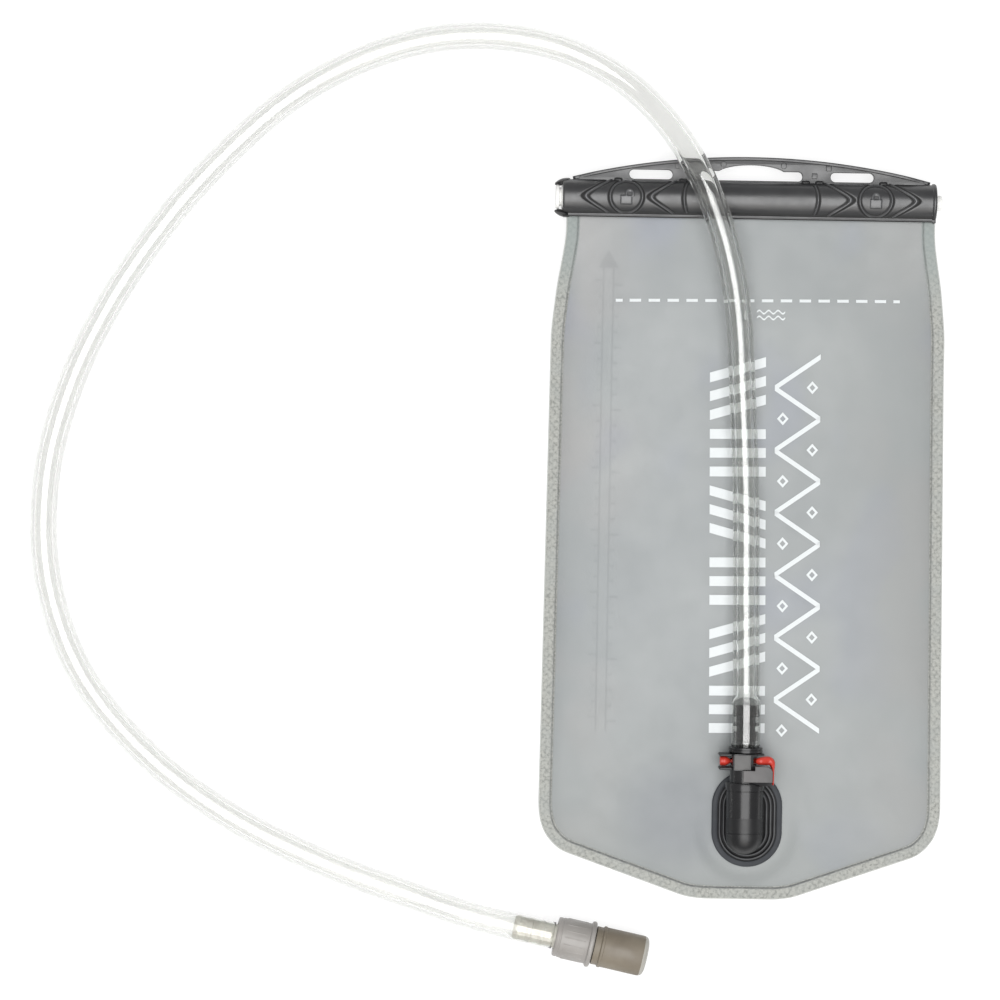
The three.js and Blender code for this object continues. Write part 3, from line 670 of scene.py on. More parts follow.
# (dark tone, light tone, range of roughness, scale of the grain, its depth in mm, specular level)
MOULDED = {
    "rail": ((0.80, 0.80, 0.78), (0.88, 0.88, 0.86), (0.3, 0.45), 700),
    "moulding": ((0.008, 0.008, 0.009), (0.014, 0.014, 0.015), (0.22, 0.28)),
    "moulding_dull": ((0.006, 0.006, 0.007), (0.011, 0.011, 0.012), (0.36, 0.44)),
    # A lighter copy of the black moulding: a painted highlight on the housing's flat top face.
    "moulding_painted_highlight": ((0.05, 0.049, 0.048), (0.07, 0.068, 0.066), (0.36, 0.46)),
    # Marked: its grooves take painted shade and its raised lines a painted highlight.
    "slider": ((0.013, 0.013, 0.015), (0.024, 0.0245, 0.026), (0.34, 0.44), 1000, 0.03, 1.0, True),
    "barb": ((0.006, 0.006, 0.006), (0.012, 0.012, 0.012), (0.1, 0.16), 900, 0.02, 1.0),
    "flange": ((0.012, 0.012, 0.013), (0.022, 0.022, 0.023), (0.45, 0.6), 1200, 0.03, 0.2),
    # A lighter copy of the flange's plastic: a painted highlight on the rib crests.
    "flange_rib_highlight": ((0.055, 0.057, 0.06), (0.08, 0.082, 0.086), (0.4, 0.55), 1200, 0.03, 0.3),
    "flange_band": ((0.034, 0.037, 0.042), (0.046, 0.05, 0.056), (0.4, 0.55), 1200, 0.03, 0.15),
    # The pad is black plastic painted a lighter grey: a painted highlight on its flat top.
    "pad": ((0.075, 0.073, 0.073), (0.105, 0.1, 0.1), (0.45, 0.6), 1500, 0.05),
    "latch_red": ((0.50, 0.035, 0.022), (0.62, 0.05, 0.032), (0.22, 0.34), 800),
    "seal": ((0.012, 0.012, 0.012), (0.02, 0.02, 0.02), (0.5, 0.65), 1200, 0.03),
    "collar": ((0.25, 0.236, 0.222), (0.32, 0.304, 0.288), (0.3, 0.42), 800),
    "silicone": ((0.152, 0.128, 0.096), (0.208, 0.18, 0.138), (0.4, 0.6), 500, 0.05),
    # A lighter copy of the silicone for the sleeve's rounded end: partly its thin translucent lip,
    # partly a painted highlight.
    "silicone_lip_and_highlight": ((0.33, 0.32, 0.29), (0.41, 0.4, 0.365), (0.35, 0.5), 500, 0.05),
}
MATERIALS = {
    "front_film": film_material("film_front", 0.48),
    "back_film": film_material("film_back", 0.97),
    "weld": weld_material(),
    "ink": print_material("ink", (0.65, 0.68, 0.69)),
    "scale_ink": print_material("scale_ink", (0.045, 0.052, 0.06)),
    "clear": clear_material(),
    "frosted": frosted_material(),
    "steel": steel_material(),
    **{name: moulded(name, *look) for name, look in MOULDED.items()},
}


# ---------------------------------------------------------------- hose


def catmull_rom(points, spacing):
    """A centripetal Catmull-Rom curve through the points, at an even spacing."""
    points = [np.array(p, float) for p in points]
    points = [2 * points[0] - points[1], *points, 2 * points[-1] - points[-2]]
    out = []
    for a, b, c, d in zip(points, points[1:], points[2:], points[3:]):
        t0, t1, t2 = (np.linalg.norm(q - p) ** 0.5 for p, q in ((a, b), (b, c), (c, d)))
        m1 = ((b - a) / t0 - (c - a) / (t0 + t1) + (c - b) / t1) * t1
        m2 = ((c - b) / t1 - (d - b) / (t1 + t2) + (d - c) / t2) * t1
        t = np.linspace(0, 1, 60, endpoint=False)[:, None]
        h = (2 * t**3 - 3 * t**2 + 1, t**3 - 2 * t**2 + t, -2 * t**3 + 3 * t**2, t**3 - t**2)
        out.append(h[0] * b + h[1] * m1 + h[2] * c + h[3] * m2)
    return evenly(np.concatenate([*out, points[-2][None]]), spacing)


def add_hose():
    """The clear hose on its route, stretched where it is pulled over the barb at each end."""
    centres, along = catmull_rom(TUBE_ROUTE, 1.5)
    near = 1 - smoothstep(18.6, 23.0, along)
    far = 1 - smoothstep(16.8, 21.0, along[-1] - along)
    outer_radius = TUBE_RADIUS + 0.5 * near + 0.1 * far
    inner_radius = TUBE_BORE_RADIUS + 2.6 * near + 1.95 * far
    side, up = sideways_and_up(centres)
    sides = 48
    turn = full_turn(sides)[None, :, None]
    around = side[:, None] * np.cos(turn) + up[:, None] * np.sin(turn)
    outer = centres[:, None] + around * outer_radius[:, None, None]
    inner = centres[:, None] + around * inner_radius[:, None, None]
    loop = np.concatenate([outer, inner[::-1]])
    faces = grid_faces(len(loop), sides, wrap_columns=True, wrap_rows=True)
    tube = fix_normals(make_object("hose", loop, faces, MATERIALS["clear"]))
    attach(tube, "hose")
    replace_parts(tube, "drinking_tube")
    return tube, centres, along[-1]


# ---------------------------------------------------------------- films and their welded rim


def back_z(y):
    """Underside of the back film: on the table, rising to the closure's height at the mouth."""
    return (SLIDER_Z - FILM - GAP / 2) * smoothstep(62, 139, y)


def edge_distance(x, y):
    """Distance from points inside the bladder to its outline, the mouth left out."""
    best = np.full(np.shape(x), 1e9)
    px, py = np.abs(x), np.asarray(y, float)
    for (ax, ay), (bx, by) in zip(SILHOUETTE, SILHOUETTE[1:]):
        dx, dy = bx - ax, by - ay
        t = np.clip(((px - ax) * dx + (py - ay) * dy) / (dx * dx + dy * dy), 0, 1)
        best = np.minimum(best, np.hypot(px - ax - t * dx, py - ay - t * dy))
    return best


def stadium_distance(x, y, centre, half_width, half_length):
    """Signed distance outside a stadium that stands along Y."""
    straight = half_length - half_width
    dy = np.maximum(np.abs(y - centre[1]) - straight, 0)
    return np.hypot(x - centre[0], dy) - half_width


def dimple(x, y):
    """Soft unevenness of a film that has been folded and filled, in millimetres."""
    waves = 0.16 * np.sin(x / 17 + 1.3 * np.sin(y / 39)) * np.sin(y / 31 + 0.9)
    waves += 0.12 * np.sin((x + y) / 13 + 2.1) * np.sin((x - 0.6 * y) / 23)
    return waves * smoothstep(WELD_WIDTH, WELD_WIDTH + 14, edge_distance(x, y))


def front_top(x, y):
    """Top of the front film."""
    x, y = np.asarray(x, float), np.asarray(y, float)
    depth = np.clip((edge_distance(x, y) - WELD_WIDTH) / PUFF_REACH, 0, 1)
    height = PUFF_AT_PORT + (PUFF - PUFF_AT_PORT) * smoothstep(-110, -50, y)
    puff = height * np.sin(math.pi / 2 * depth) ** 0.7 * (1 - smoothstep(80, 138, y)) + dimple(x, y)
    away = stadium_distance(x, y, (FLANGE_X, FLANGE_Y), FLANGE_HALF_WIDTH, FLANGE_HALF_LENGTH)
    held = 1 - smoothstep(1, 9, away)
    puff = puff * (1 - held) + PUFF_AT_PORT * held
    return back_z(y) + 2 * FILM + GAP + np.maximum(puff, 0)


def outline(inset, spacing):
    """The right half of the outline, from the bottom up, with rounded corners and moved inwards."""
    corners = np.array(rounded_profile(SILHOUETTE, radius=5, steps=7))
    points, along = evenly(corners, spacing)
    points = softened(points, 3)
    tangent = unit(np.gradient(points, axis=0))
    tangent[0] = (1, 0)
    tangent[-1] = (0, 1)
    return points + inset * np.stack([-tangent[:, 1], tangent[:, 0]], axis=1), along


def both_sides(half):
    """A whole outline from its right half: from the mouth's left corner to its right corner."""
    return np.concatenate([half[:0:-1] * (-1, 1), half])


def film_net(inset, spacing=2.0):
    """Points and triangles that cover the bladder inside an inset outline."""
    loop = both_sides(outline(inset, spacing)[0])
    right_side = loop[len(loop) // 2:]
    mouth_x, steps = loop[-1][0], 80
    mouth = [(mouth_x * (1 - 2 * k / steps), MOUTH_Y) for k in range(1, steps)]
    border = [*map(tuple, loop), *mouth]
    inside = []
    for index, y in enumerate(np.arange(BOTTOM_Y + 7, MOUTH_Y - 1.2, spacing * 0.9)):
        xs = np.arange(-90, 90, spacing) + (index % 2) * spacing / 2
        keep = edge_distance(xs, np.full_like(xs, y)) > inset + 0.55 * spacing
        keep &= np.abs(xs) < np.interp(y, right_side[:, 1], right_side[:, 0]) - 0.5
        inside += [(x, y) for x in xs[keep]]
    points = [Vector(p) for p in border + inside]
    edges = [(k, (k + 1) % len(border)) for k in range(len(border))]
    verts, _, faces, *_ = delaunay_2d_cdt(points, edges, [], 1, 1e-4)
    return np.array([tuple(v) for v in verts]), [tuple(f) for f in faces]


def film_piece(name, flat, faces, top, thickness, material):
    """A closed sheet of film over a net of points, from the height of its top."""
    count = len(flat)
    verts = np.concatenate([np.column_stack([flat, top]), np.column_stack([flat, top - thickness])])
    shell = [*faces, *[tuple(v + count for v in face[::-1]) for face in faces]]
    sides = {pair: True for face in faces for pair in zip(face, face[1:] + face[:1])}
    for a, b in sides:
        if (b, a) not in sides:
            shell.append((b, a, a + count, b + count))
    return smooth_by_angle(fix_normals(make_object(name, verts, shell, material)), 60)


def add_films():
    flat, faces = film_net(WELD_WIDTH - 0.3)
    top = front_top(flat[:, 0], flat[:, 1])
    front = film_piece("front_sheet", flat, faces, top, FILM, MATERIALS["front_film"])
    hole = turned("inlet", [(0, -20), (4.5, -20), (4.5, 20), (0, 20)], None, 40)
    upright = Matrix.Rotation(math.pi / 2, 4, "X")
    place(hole, Matrix.Translation(Vector((PORT.x, INLET_Y, 6)) * MM) @ upright)
    cut(front, hole)
    top = back_z(flat[:, 1]) + FILM
    back = film_piece("back_sheet", flat, faces, top, FILM, MATERIALS["back_film"])
    for film, node in ((front, "front_film"), (back, "back_film")):
        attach(film, "bladder")
        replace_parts(film, node)


def knurl(along, across):
    """Height of the welding bar's diamond pattern, 0 to 1."""
    a = along / 3.5
    b = across / 3.4
    diamonds = np.abs(np.sin(math.pi * (a + b))) * np.abs(np.sin(math.pi * (a - b)))
    fine = 0.5 + 0.5 * np.sin(2.6 * along + 4 * across) * np.sin(3.1 * across - 1.7 * along)
    return np.clip(0.8 * diamonds**0.6 + 0.2 * fine, 0, 1)


def add_weld():
    """The rim where the two films are welded together, a knurled band that follows the outline."""
    spacing = 0.62
    insets = [0, 0.15, 0.45, 0.8, *np.arange(1.2, 5.2, 0.36), 5.2, 5.4, 5.6, 5.85, WELD_WIDTH]
    insets = np.array(insets)
    flat = np.stack([both_sides(outline(inset, spacing)[0]) for inset in insets], axis=1)
    along = outline(0, spacing)[1]
    along = np.concatenate([-along[:0:-1], along])
    inside = smoothstep(0.5, 1.1, insets) * (1 - smoothstep(4.9, 5.3, insets))
    relief = knurl(along[:, None], insets[None, :]) * inside[None, :]
    rim = 0.16 * smoothstep(0, 0.45, insets) * (1 - smoothstep(0.8, 1.2, insets))
    valley = 0.4 * smoothstep(5.2, 5.6, insets)
    rounded = 0.4 * (1 - smoothstep(0, 0.5, insets))
    level = back_z(flat[..., 1])
    top = level + 2 * FILM + GAP - 0.15 + 0.34 * relief + (rim - valley - rounded)[None, :]
    bottom = level + 0.02 + (0.35 - 0.3 * relief) * inside[None, :] + rounded[None, :]
    across = np.broadcast_to(insets / WELD_WIDTH, relief.shape)
    marks = np.tile(np.dstack([relief, across]).reshape(-1, 2), (2, 1))
    upper, lower = np.dstack([flat, top]), np.dstack([flat, bottom])
    band = closed_sheet("welded_rim", upper, lower, MATERIALS["weld"], marks)
    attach(band, "bladder")


# ---------------------------------------------------------------- prints


def on_print(x, y, across=0.0):
    """A point of the printed layout, which is turned a little against the bladder."""
    return x - 0.0149 * y + across, y + 0.0123 * x


def printed(name, shapes, height, material):
    """Ink on a film: flat polygons, cut fine enough to follow the film."""
    thickness = 0.05
    longest_edge = 2.6
    bm = bmesh.new()
    for shape in shapes:
        bm.faces.new([bm.verts.new((x, y, 0)) for x, y in shape])
    bmesh.ops.triangulate(bm, faces=[f for f in bm.faces if len(f.verts) > 4])
    for _ in range(5):
        long_edges = [e for e in bm.edges if e.calc_length() > longest_edge]
        if not long_edges:
            break
        bmesh.ops.subdivide_edges(bm, edges=long_edges, cuts=1, use_grid_fill=True)
        bmesh.ops.triangulate(bm, faces=[f for f in bm.faces if len(f.verts) > 4])
    flat = np.array([(v.co.x, v.co.y) for v in bm.verts])
    bm.verts.index_update()
    faces = [tuple(v.index for v in f.verts) for f in bm.faces]
    bm.free()
    top = height(flat[:, 0], flat[:, 1]) + thickness
    return film_piece(name, flat, faces, top, thickness, material)


def bar(x0, y0, x1, y1):
    return [(x0, y0), (x1, y0), (x1, y1), (x0, y1)]


def slanted(x0, y0, x1, y1, width):
    """A straight stroke across the column between two points, as thick as width along Y."""
    return [(x0, y0 - width / 2), (x1, y1 - width / 2), (x1, y1 + width / 2), (x0, y0 + width / 2)]


def ring_strokes(outer, inner):
    """The strip between two loops of the same count, as quads."""
    quads = zip(outer, outer[1:] + outer[:1], inner[1:] + inner[:1], inner)
    return [list(quad) for quad in quads]


def diamond(x, y, half_x, half_y, stroke):
    outer = [(x - half_x, y), (x, y - half_y), (x + half_x, y), (x, y + half_y)]
    k = 1 - stroke / min(half_x, half_y)
    return ring_strokes(outer, [(x + (a - x) * k, y + (b - y) * k) for a, b in outer])


def bold_column():
    """The broad printed column: sets of straight bars and slanted bars in thick strokes."""
    left, right, stroke, gap, lean = -16.1, 8.9, 4.4, 4.0, 7.0
    shapes = []
    y = -91.3
    for rise in (0, lean, 0, -lean, 0, lean):
        y += abs(rise) / 2
        for _ in range(3):
            middle = y + stroke / 2
            shapes.append(slanted(left, middle - rise / 2, right, middle + rise / 2, stroke))
            y += stroke + gap
        y += abs(rise) / 2
    return shapes


def thin_column():
    """The slim printed column beside it: a zigzag line with small diamonds in its pockets."""
    left, right, stroke, pitch = 12.9, 33.3, 2.4, 13.95
    shapes = []
    for k in range(12):
        y = -90.3 + k * pitch
        rising = k % 2
        start, end = (y, y + pitch) if rising else (y + pitch, y)
        shapes.append(slanted(left, start, right, end, stroke))
        pocket_x = right - 3.6 if rising else left + 3.6
        shapes += diamond(pocket_x, y + 0.2, 2.6, 2.9, 1.3)
    return shapes


def wave(x0, x1, y, height, stroke, humps):
    """A wavy stroke, the plain sign for water."""
    xs = np.linspace(x0, x1, 12 * humps + 1)
    ys = y + height / 2 * np.sin((xs - x0) / (x1 - x0) * humps * 2 * math.pi)
    return [slanted(*line, stroke) for line in zip(xs, ys, xs[1:], ys[1:])]


def droplet(x, y, size):
    """A plain water drop."""
    points = []
    for angle in np.linspace(0, 2 * math.pi, 20, endpoint=False):
        reach = size * (1 + 0.9 * max(0.0, math.cos(angle)) ** 6)
        points.append((x + size * math.sin(angle) * 0.92, y + reach * math.cos(angle)))
    return points


def add_prints():
    """The fill line with the sign for water under it, and the two printed columns."""
    low, high = 101.4, 102.7
    fill = [bar(x, low, x + 5.1, high) for x in -53.6 + 8.43 * np.arange(14)]
    fill += [bar(-59.8, low, -56.7, high), bar(64.4, low, 67.3, high)]
    for y in (97.0, 94.4):
        fill += wave(3.2, 15.8, y, 1.5, 0.75, 3)
    fill.append(droplet(-0.4, 95.2, 1.7))
    rows = (
        ("fill_mark", fill, 1.5),
        ("bold_print", bold_column(), 0.0),
        ("thin_print", thin_column(), 0.0),
    )
    for name, shapes, across in rows:
        shapes = [[on_print(x, y, across) for x, y in shape] for shape in shapes]
        ink = printed(name, shapes, front_top, MATERIALS["ink"])
        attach(ink, "bladder")


def scale_shapes():
    """The volume scale on the back film: a double line with an arrow, and ticks on both sides."""
    left, right = -65.7, -61.2
    shapes = [bar(left, -92, left + 0.8, 118), bar(right, -92, right + 0.8, 118)]
    shapes.append([(left - 2, 116), (right + 2.8, 116), ((left + right) / 2 + 0.4, 124)])
    for k, y in enumerate(np.arange(-88, 112, 7.0)):
        reach = 4.2 if k % 4 == 0 else 2.2
        shapes.append(bar(right + 0.8, y, right + 0.8 + reach, y + 0.9))
        shapes.append(bar(left - reach * 0.8, y + 2, left, y + 2.9))
    return shapes


def back_top(_, y):
    """Top of the back film."""
    return back_z(y) + FILM


def add_scale():
    ink = printed("volume_scale", scale_shapes(), back_top, MATERIALS["scale_ink"])
    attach(ink, "bladder")


# ---------------------------------------------------------------- slide closure


def line_relief(distance):
    """Height of a raised line at a distance from its middle, between a broad and a thin groove."""
    ridge = 0.3 * np.exp(-((distance / 0.28) ** 2))
    inner = 0.34 * np.exp(-(((distance - 0.66) / 0.25) ** 2))
    outer = 0.45 * np.exp(-(((distance + 0.78) / 0.32) ** 2))
    return ridge - inner - outer


def chevron_distance(side, dy, tip, slope):
    """Distance from a chevron's line, pointing outwards with a rounded tip."""
    bend = np.sqrt(dy * dy + 3.2) - 1.79
    return ((tip - side) * slope - bend) / math.hypot(1, slope)


def slider_relief(x, dy):
    """Height of the moulded marks on the closure's two faces: chevrons, round badges and arcs."""
    side = np.abs(x)
    badge = np.hypot(side - BADGE_X, dy)
    clear = smoothstep(7.9, 8.5, badge)
    total = line_relief(7.2 - badge) + padlock_relief(x, dy)
    for tip, slope in ((73.6, 0.55), (44.4, 0.56)):
        chevron = line_relief(chevron_distance(side, dy, tip, slope))
        total = total + chevron * clear * (side > tip - 17)
    arc = line_relief(16.4 - np.hypot(side - 13.5, dy))
    return total + arc * (side > 24) * (1 - smoothstep(6.4, 7.2, np.abs(dy)))


def padlock_relief(x, dy):
    """A small padlock on each badge, its shackle swung open on the left one."""
    u = (np.abs(x) - BADGE_X) * np.sign(x)
    body = np.maximum(np.abs(u) - 2.3, np.abs(dy + 1.5) - 1.7)
    mark = 0.3 * (1 - smoothstep(-0.1, 0.35, body))
    shift = np.where(x < 0, 1.5, 0.0)
    shackle = np.abs(np.hypot(u - shift, np.maximum(dy - 1.4, 0)) - 1.5)
    mark = mark + 0.28 * (1 - smoothstep(0.25, 0.6, shackle)) * (dy > 0.1) * (dy < 4)
    return mark * (np.abs(u) < 5)


def closure_tube():
    """The C-section tube, its faces fine enough for the marks."""
    xs = [SLIDER_LEFT_X, SLIDER_LEFT_X + 0.12, SLIDER_LEFT_X + 0.5]
    marked, plain = 0.27, 2.2
    spans = ((-83.2, -77.2, 0.8), (-76.6, -28, marked), (-27.4, 25.4, plain), (26, 75.8, marked))
    for span in spans:
        xs += list(np.arange(*span))
    xs += [76.4, 78, 79.6, 80.4, 80.7, 81.0, 81.3, 81.8, SLIDER_RIGHT_X - 0.1, SLIDER_RIGHT_X]
    xs = np.array(xs)
    half_slot = math.asin(SLOT_HALF_HEIGHT / SLIDER_RADIUS)
    lip_end, face_start = math.radians(24), math.radians(40)
    lip = np.linspace(half_slot, lip_end, 15)[:-1]
    low_face = np.linspace(lip_end, face_start, 8)[:-1]
    face = np.linspace(-math.pi + face_start, math.pi - face_start, 150)
    edge = np.concatenate([lip, low_face])
    angles = np.concatenate([edge - math.pi, face, math.pi - edge[::-1]])
    from_slot = np.degrees(math.pi - np.abs(angles))
    # A thin flared lip runs along both edges of the slot.
    flare_degrees = (18, 19.2, 19.8, 20.3, 20.9, 21.8, 23, 40)
    flare_radius = (9.45, 9.45, 9.0, 8.8, 8.35, 8.05, 8.0, 8.0)
    flare = np.interp(from_slot, flare_degrees, flare_radius) - SLIDER_RADIUS
    collar = smoothstep(80.5, 81.2, xs) * 0.55
    end = smoothstep(0, 0.5, xs - SLIDER_LEFT_X) * smoothstep(0, 0.35, SLIDER_RIGHT_X - xs)
    dy = SLIDER_RADIUS * np.cos(angles)[None, :]
    away = smoothstep(0.4, 1.6, SLIDER_RADIUS * np.abs(np.sin(angles)))
    away = away * smoothstep(26, 30, from_slot)
    relief = slider_relief(xs[:, None] - SLIDER_MIDDLE_X, dy) * away[None, :]
    radius = SLIDER_RADIUS + (collar - 0.35 * (1 - end))[:, None] + relief + flare[None, :]
    inner_radius = SLIDER_RADIUS - SLIDER_WALL
    inner = np.full_like(radius, inner_radius)
    half_inner_slot = math.asin(SLOT_HALF_HEIGHT / inner_radius)
    inner_angles = angles * (math.pi - half_inner_slot) / (math.pi - half_slot)

    def shell(radii, turn):
        y = SLIDER_Y + radii * np.cos(turn)[None, :]
        z = SLIDER_Z + radii * np.sin(turn)[None, :]
        return np.dstack([np.broadcast_to(xs[:, None], radii.shape), y, z])

    # Painted shadow: a dark band below each lip and a dark line along the lip's edge.
    shadow = 0.42 * smoothstep(22, 25, from_slot) * (1 - smoothstep(36, 50, from_slot))
    shadow = shadow + 1.0 - smoothstep(19.7, 20.0, from_slot)
    # The first mark holds the grooves' painted shade and this painted shadow; the second holds the
    # raised lines' painted highlight.
    grooves = np.clip(np.maximum(-relief / 0.45, shadow[None, :]), 0, 1)
    marks = np.dstack([grooves, np.clip(relief / 0.3, 0, 1)]).reshape(-1, 2)
    marks = np.concatenate([marks, np.zeros_like(marks)])
    outside, inside = shell(radius, angles), shell(inner, inner_angles)
    return closed_sheet("closure_tube", outside, inside, MATERIALS["slider"], marks)


def arc_points(inset, count):
    """Points along the handle's arched edge, moved inwards."""
    half = math.asin(HANDLE_HALF_SPAN / HANDLE_RADIUS)
    radius = HANDLE_RADIUS - inset
    centre = HANDLE_APEX_Y - HANDLE_RADIUS
    turns = np.linspace(-half, half, count)
    return [(radius * math.sin(a), centre + radius * math.cos(a)) for a in turns]


def bezier(a, b, c, d, steps=16):
    a, b, c, d = (np.array(p, float) for p in (a, b, c, d))
    t = np.linspace(0, 1, steps)[:, None]
    curve = (1 - t) ** 3 * a + 3 * t * (1 - t) ** 2 * b + 3 * t**2 * (1 - t) * c + t**3 * d
    return [tuple(p) for p in curve]


def slot_ring(middle, half, low, high):
    """A level slot with round ends."""
    radius = (high - low) / 2
    y = (high + low) / 2
    quarter = math.pi / 2
    right = circle_points(radius, 14, (middle + half - radius, y), -quarter, quarter, True)
    left = circle_points(radius, 14, (middle - half + radius, y), quarter, 3 * quarter, True)
    return right + left


def grip_ring():
    """The middle slot, whose upper edge arches up for the fingers."""
    corner, quarter = 2.2, math.pi / 2
    low, high = SLOT_LOW_Y, SLOT_HIGH_Y
    right, bottom, top = 23 - corner, low + corner, high - corner

    def rounded_corner(x, y, start):
        return circle_points(corner, 8, (x, y), start, start + quarter, True)

    ring = rounded_corner(right, bottom, -quarter) + rounded_corner(right, top, 0)
    ring += bezier((14.5, high), (8.5, high + 3.7), (-8.5, high + 3.7), (-14.5, high))
    return ring + rounded_corner(-right, top, quarter) + rounded_corner(-right, bottom, 2 * quarter)


def closure_handle():
    """The arched handle: a web with three slots, a bead along its edge, bosses and gussets."""
    slider = MATERIALS["slider"]
    half_web = HANDLE_THICKNESS / 2
    root = SLIDER_Y + 7.2
    web_foot = HANDLE_HALF_SPAN - 2.4
    outline_web = [(-web_foot, root), *arc_points(0.5, 90)[2:-2], (web_foot, root)]
    holes = [slot_ring(x, 10, SLOT_LOW_Y, SLOT_HIGH_Y) for x in (-45, 45)]
    holes.append(grip_ring())
    pieces = [plate("web", outline_web, holes, SLIDER_Z - half_web, SLIDER_Z + half_web, slider)]
    line = np.array([(x, y, SLIDER_Z) for x, y in arc_points(0.8, 120)])
    half = BEAD_THICKNESS / 2
    section = [(0, -half), (0.75, -half), (0.75, half), (-0.75, half), (-0.75, -half), (0, -half)]
    section = np.array(rounded_profile(section, 0.5, 4)[:-1])[None]
    side, up = sideways_and_up(line)
    rings = line[:, None] + side[:, None] * section[..., :1] + up[:, None] * section[..., 1:]
    bead = lofted("bead", rings, slider, 180)
    for vert in bead.data.vertices:
        low = 0.35 + 0.65 * float(smoothstep(0, 12, HANDLE_HALF_SPAN - abs(vert.co.x / MM)))
        vert.co.z = SLIDER_Z * MM + (vert.co.z - SLIDER_Z * MM) * low
    pieces.append(bead)
    upright = Matrix.Rotation(math.pi / 2, 4, "X")
    for x, y in ((-33.1, 161.9), (-12.6, 162.9), (14.3, 162.6)):
        stud = rounded_profile([(0, 0), (1.35, 0), (1.35, 0.6), (0, 0.6)], 0.25)
        boss = turned("boss", stud, slider, 24)
        place(boss, Matrix.Translation(Vector((x, y, SLIDER_Z + half_web - 0.1)) * MM) @ upright)
        pieces.append(boss)
    for x, y in ((34.4, 161.8), (28.1, 158.3)):
        low, high = (x - 1.2, y - 1.2, SLIDER_Z + 1.3), (x + 1.2, y + 1.2, SLIDER_Z + 2.0)
        pieces.append(soft_box("boss", low, high, slider, 0.25))
    # The gussets take the darker, duller moulding: a painted shade where they sit against the tube.
    for x in (-59.6, -30.6, 24.2, 30.3, 58.9):
        low, high = (x - 1.9, root - 1.0, SLIDER_Z - 2.4), (x + 1.9, SLIDER_Y + 8.9, SLIDER_Z + 2.4)
        pieces.append(soft_box("gusset", low, high, MATERIALS["moulding_dull"], 0.8))
    return pieces


def closure_prong(side):
    """One of the two leaf-shaped ears at the closure's open end, above and below the rails."""
    # (distance from the tip, half width in radians, radius of the outside)
    stations = (
        (0, 0.1, 5.85), (0.5, 0.28, 6.3), (1.2, 0.42, 6.85), (2.4, 0.52, 7.55),
        (3.6, 0.55, 7.95), (4.8, 0.5, 8.15), (6.0, 0.38, 8.2), (6.8, 0.22, 8.05),
    )
    drop = 0.7 if side < 0 else 0
    rings = []
    for along, width, far in stations:
        x = SLIDER_LEFT_X - PRONG_LENGTH + along
        angles = np.linspace(-width, width, 11)
        crown = 0.3 * (1 - (angles / width) ** 2)
        outside = np.column_stack([far + crown + drop, angles])
        inside = np.column_stack([np.full(11, 5.4 + 0.25 * along + drop), angles[::-1]])
        ring = []
        for reach, angle in (*outside, *inside):
            y = SLIDER_Y + side * reach * math.cos(angle)
            ring.append((x, y, SLIDER_Z + reach * math.sin(angle)))
        rings.append(ring)
    return lofted("prong", rings, MATERIALS["moulding_dull"], 40)


def add_closure():
    pieces = [closure_tube(), *closure_handle(), closure_prong(1), closure_prong(-1)]
    closure = joined("closure", pieces)
    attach(closure, "slider")
    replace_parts(closure, "slide_closure")


def rail(name, side):
    """A half-round rail with rounded ends and a locating notch, welded to one film."""
    chord = FILM + GAP * 1.5
    reach = math.acos(chord / RAIL_RADIUS)
    turns = np.linspace(-reach, reach, 22)
    stations = (
        (RAIL_LEFT_X, 0.86), (RAIL_LEFT_X + 0.25, 0.95), (RAIL_LEFT_X + 0.8, 1.0), (-86, 1.0),
        (-85.7, 0.72), (-85.0, 0.72), (-84.7, 1.0), (-60, 1.0), (0, 1.0), (60, 1.0), (82.0, 1.0),
        (82.2, 0.6), (83, 0.59), (RAIL_RIGHT_X - 0.6, 0.59), (RAIL_RIGHT_X - 0.2, 0.55),
        (RAIL_RIGHT_X, 0.48),
    )
    rings = []
    for x, scale in stations:
        y = SLIDER_Y + scale * RAIL_RADIUS * np.sin(turns)
        z = SLIDER_Z + side * (chord + scale * (RAIL_RADIUS * np.cos(turns) - chord))
        rings.append(np.column_stack([np.full_like(y, x), y, z]))
    obj = lofted(name, rings, MATERIALS["rail"])
    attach(obj, "bladder")
    return obj


def add_rails():
    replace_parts(rail("upper_rail", 1), "front_rail")
    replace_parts(rail("lower_rail", -1), "back_rail")


# ---------------------------------------------------------------- port


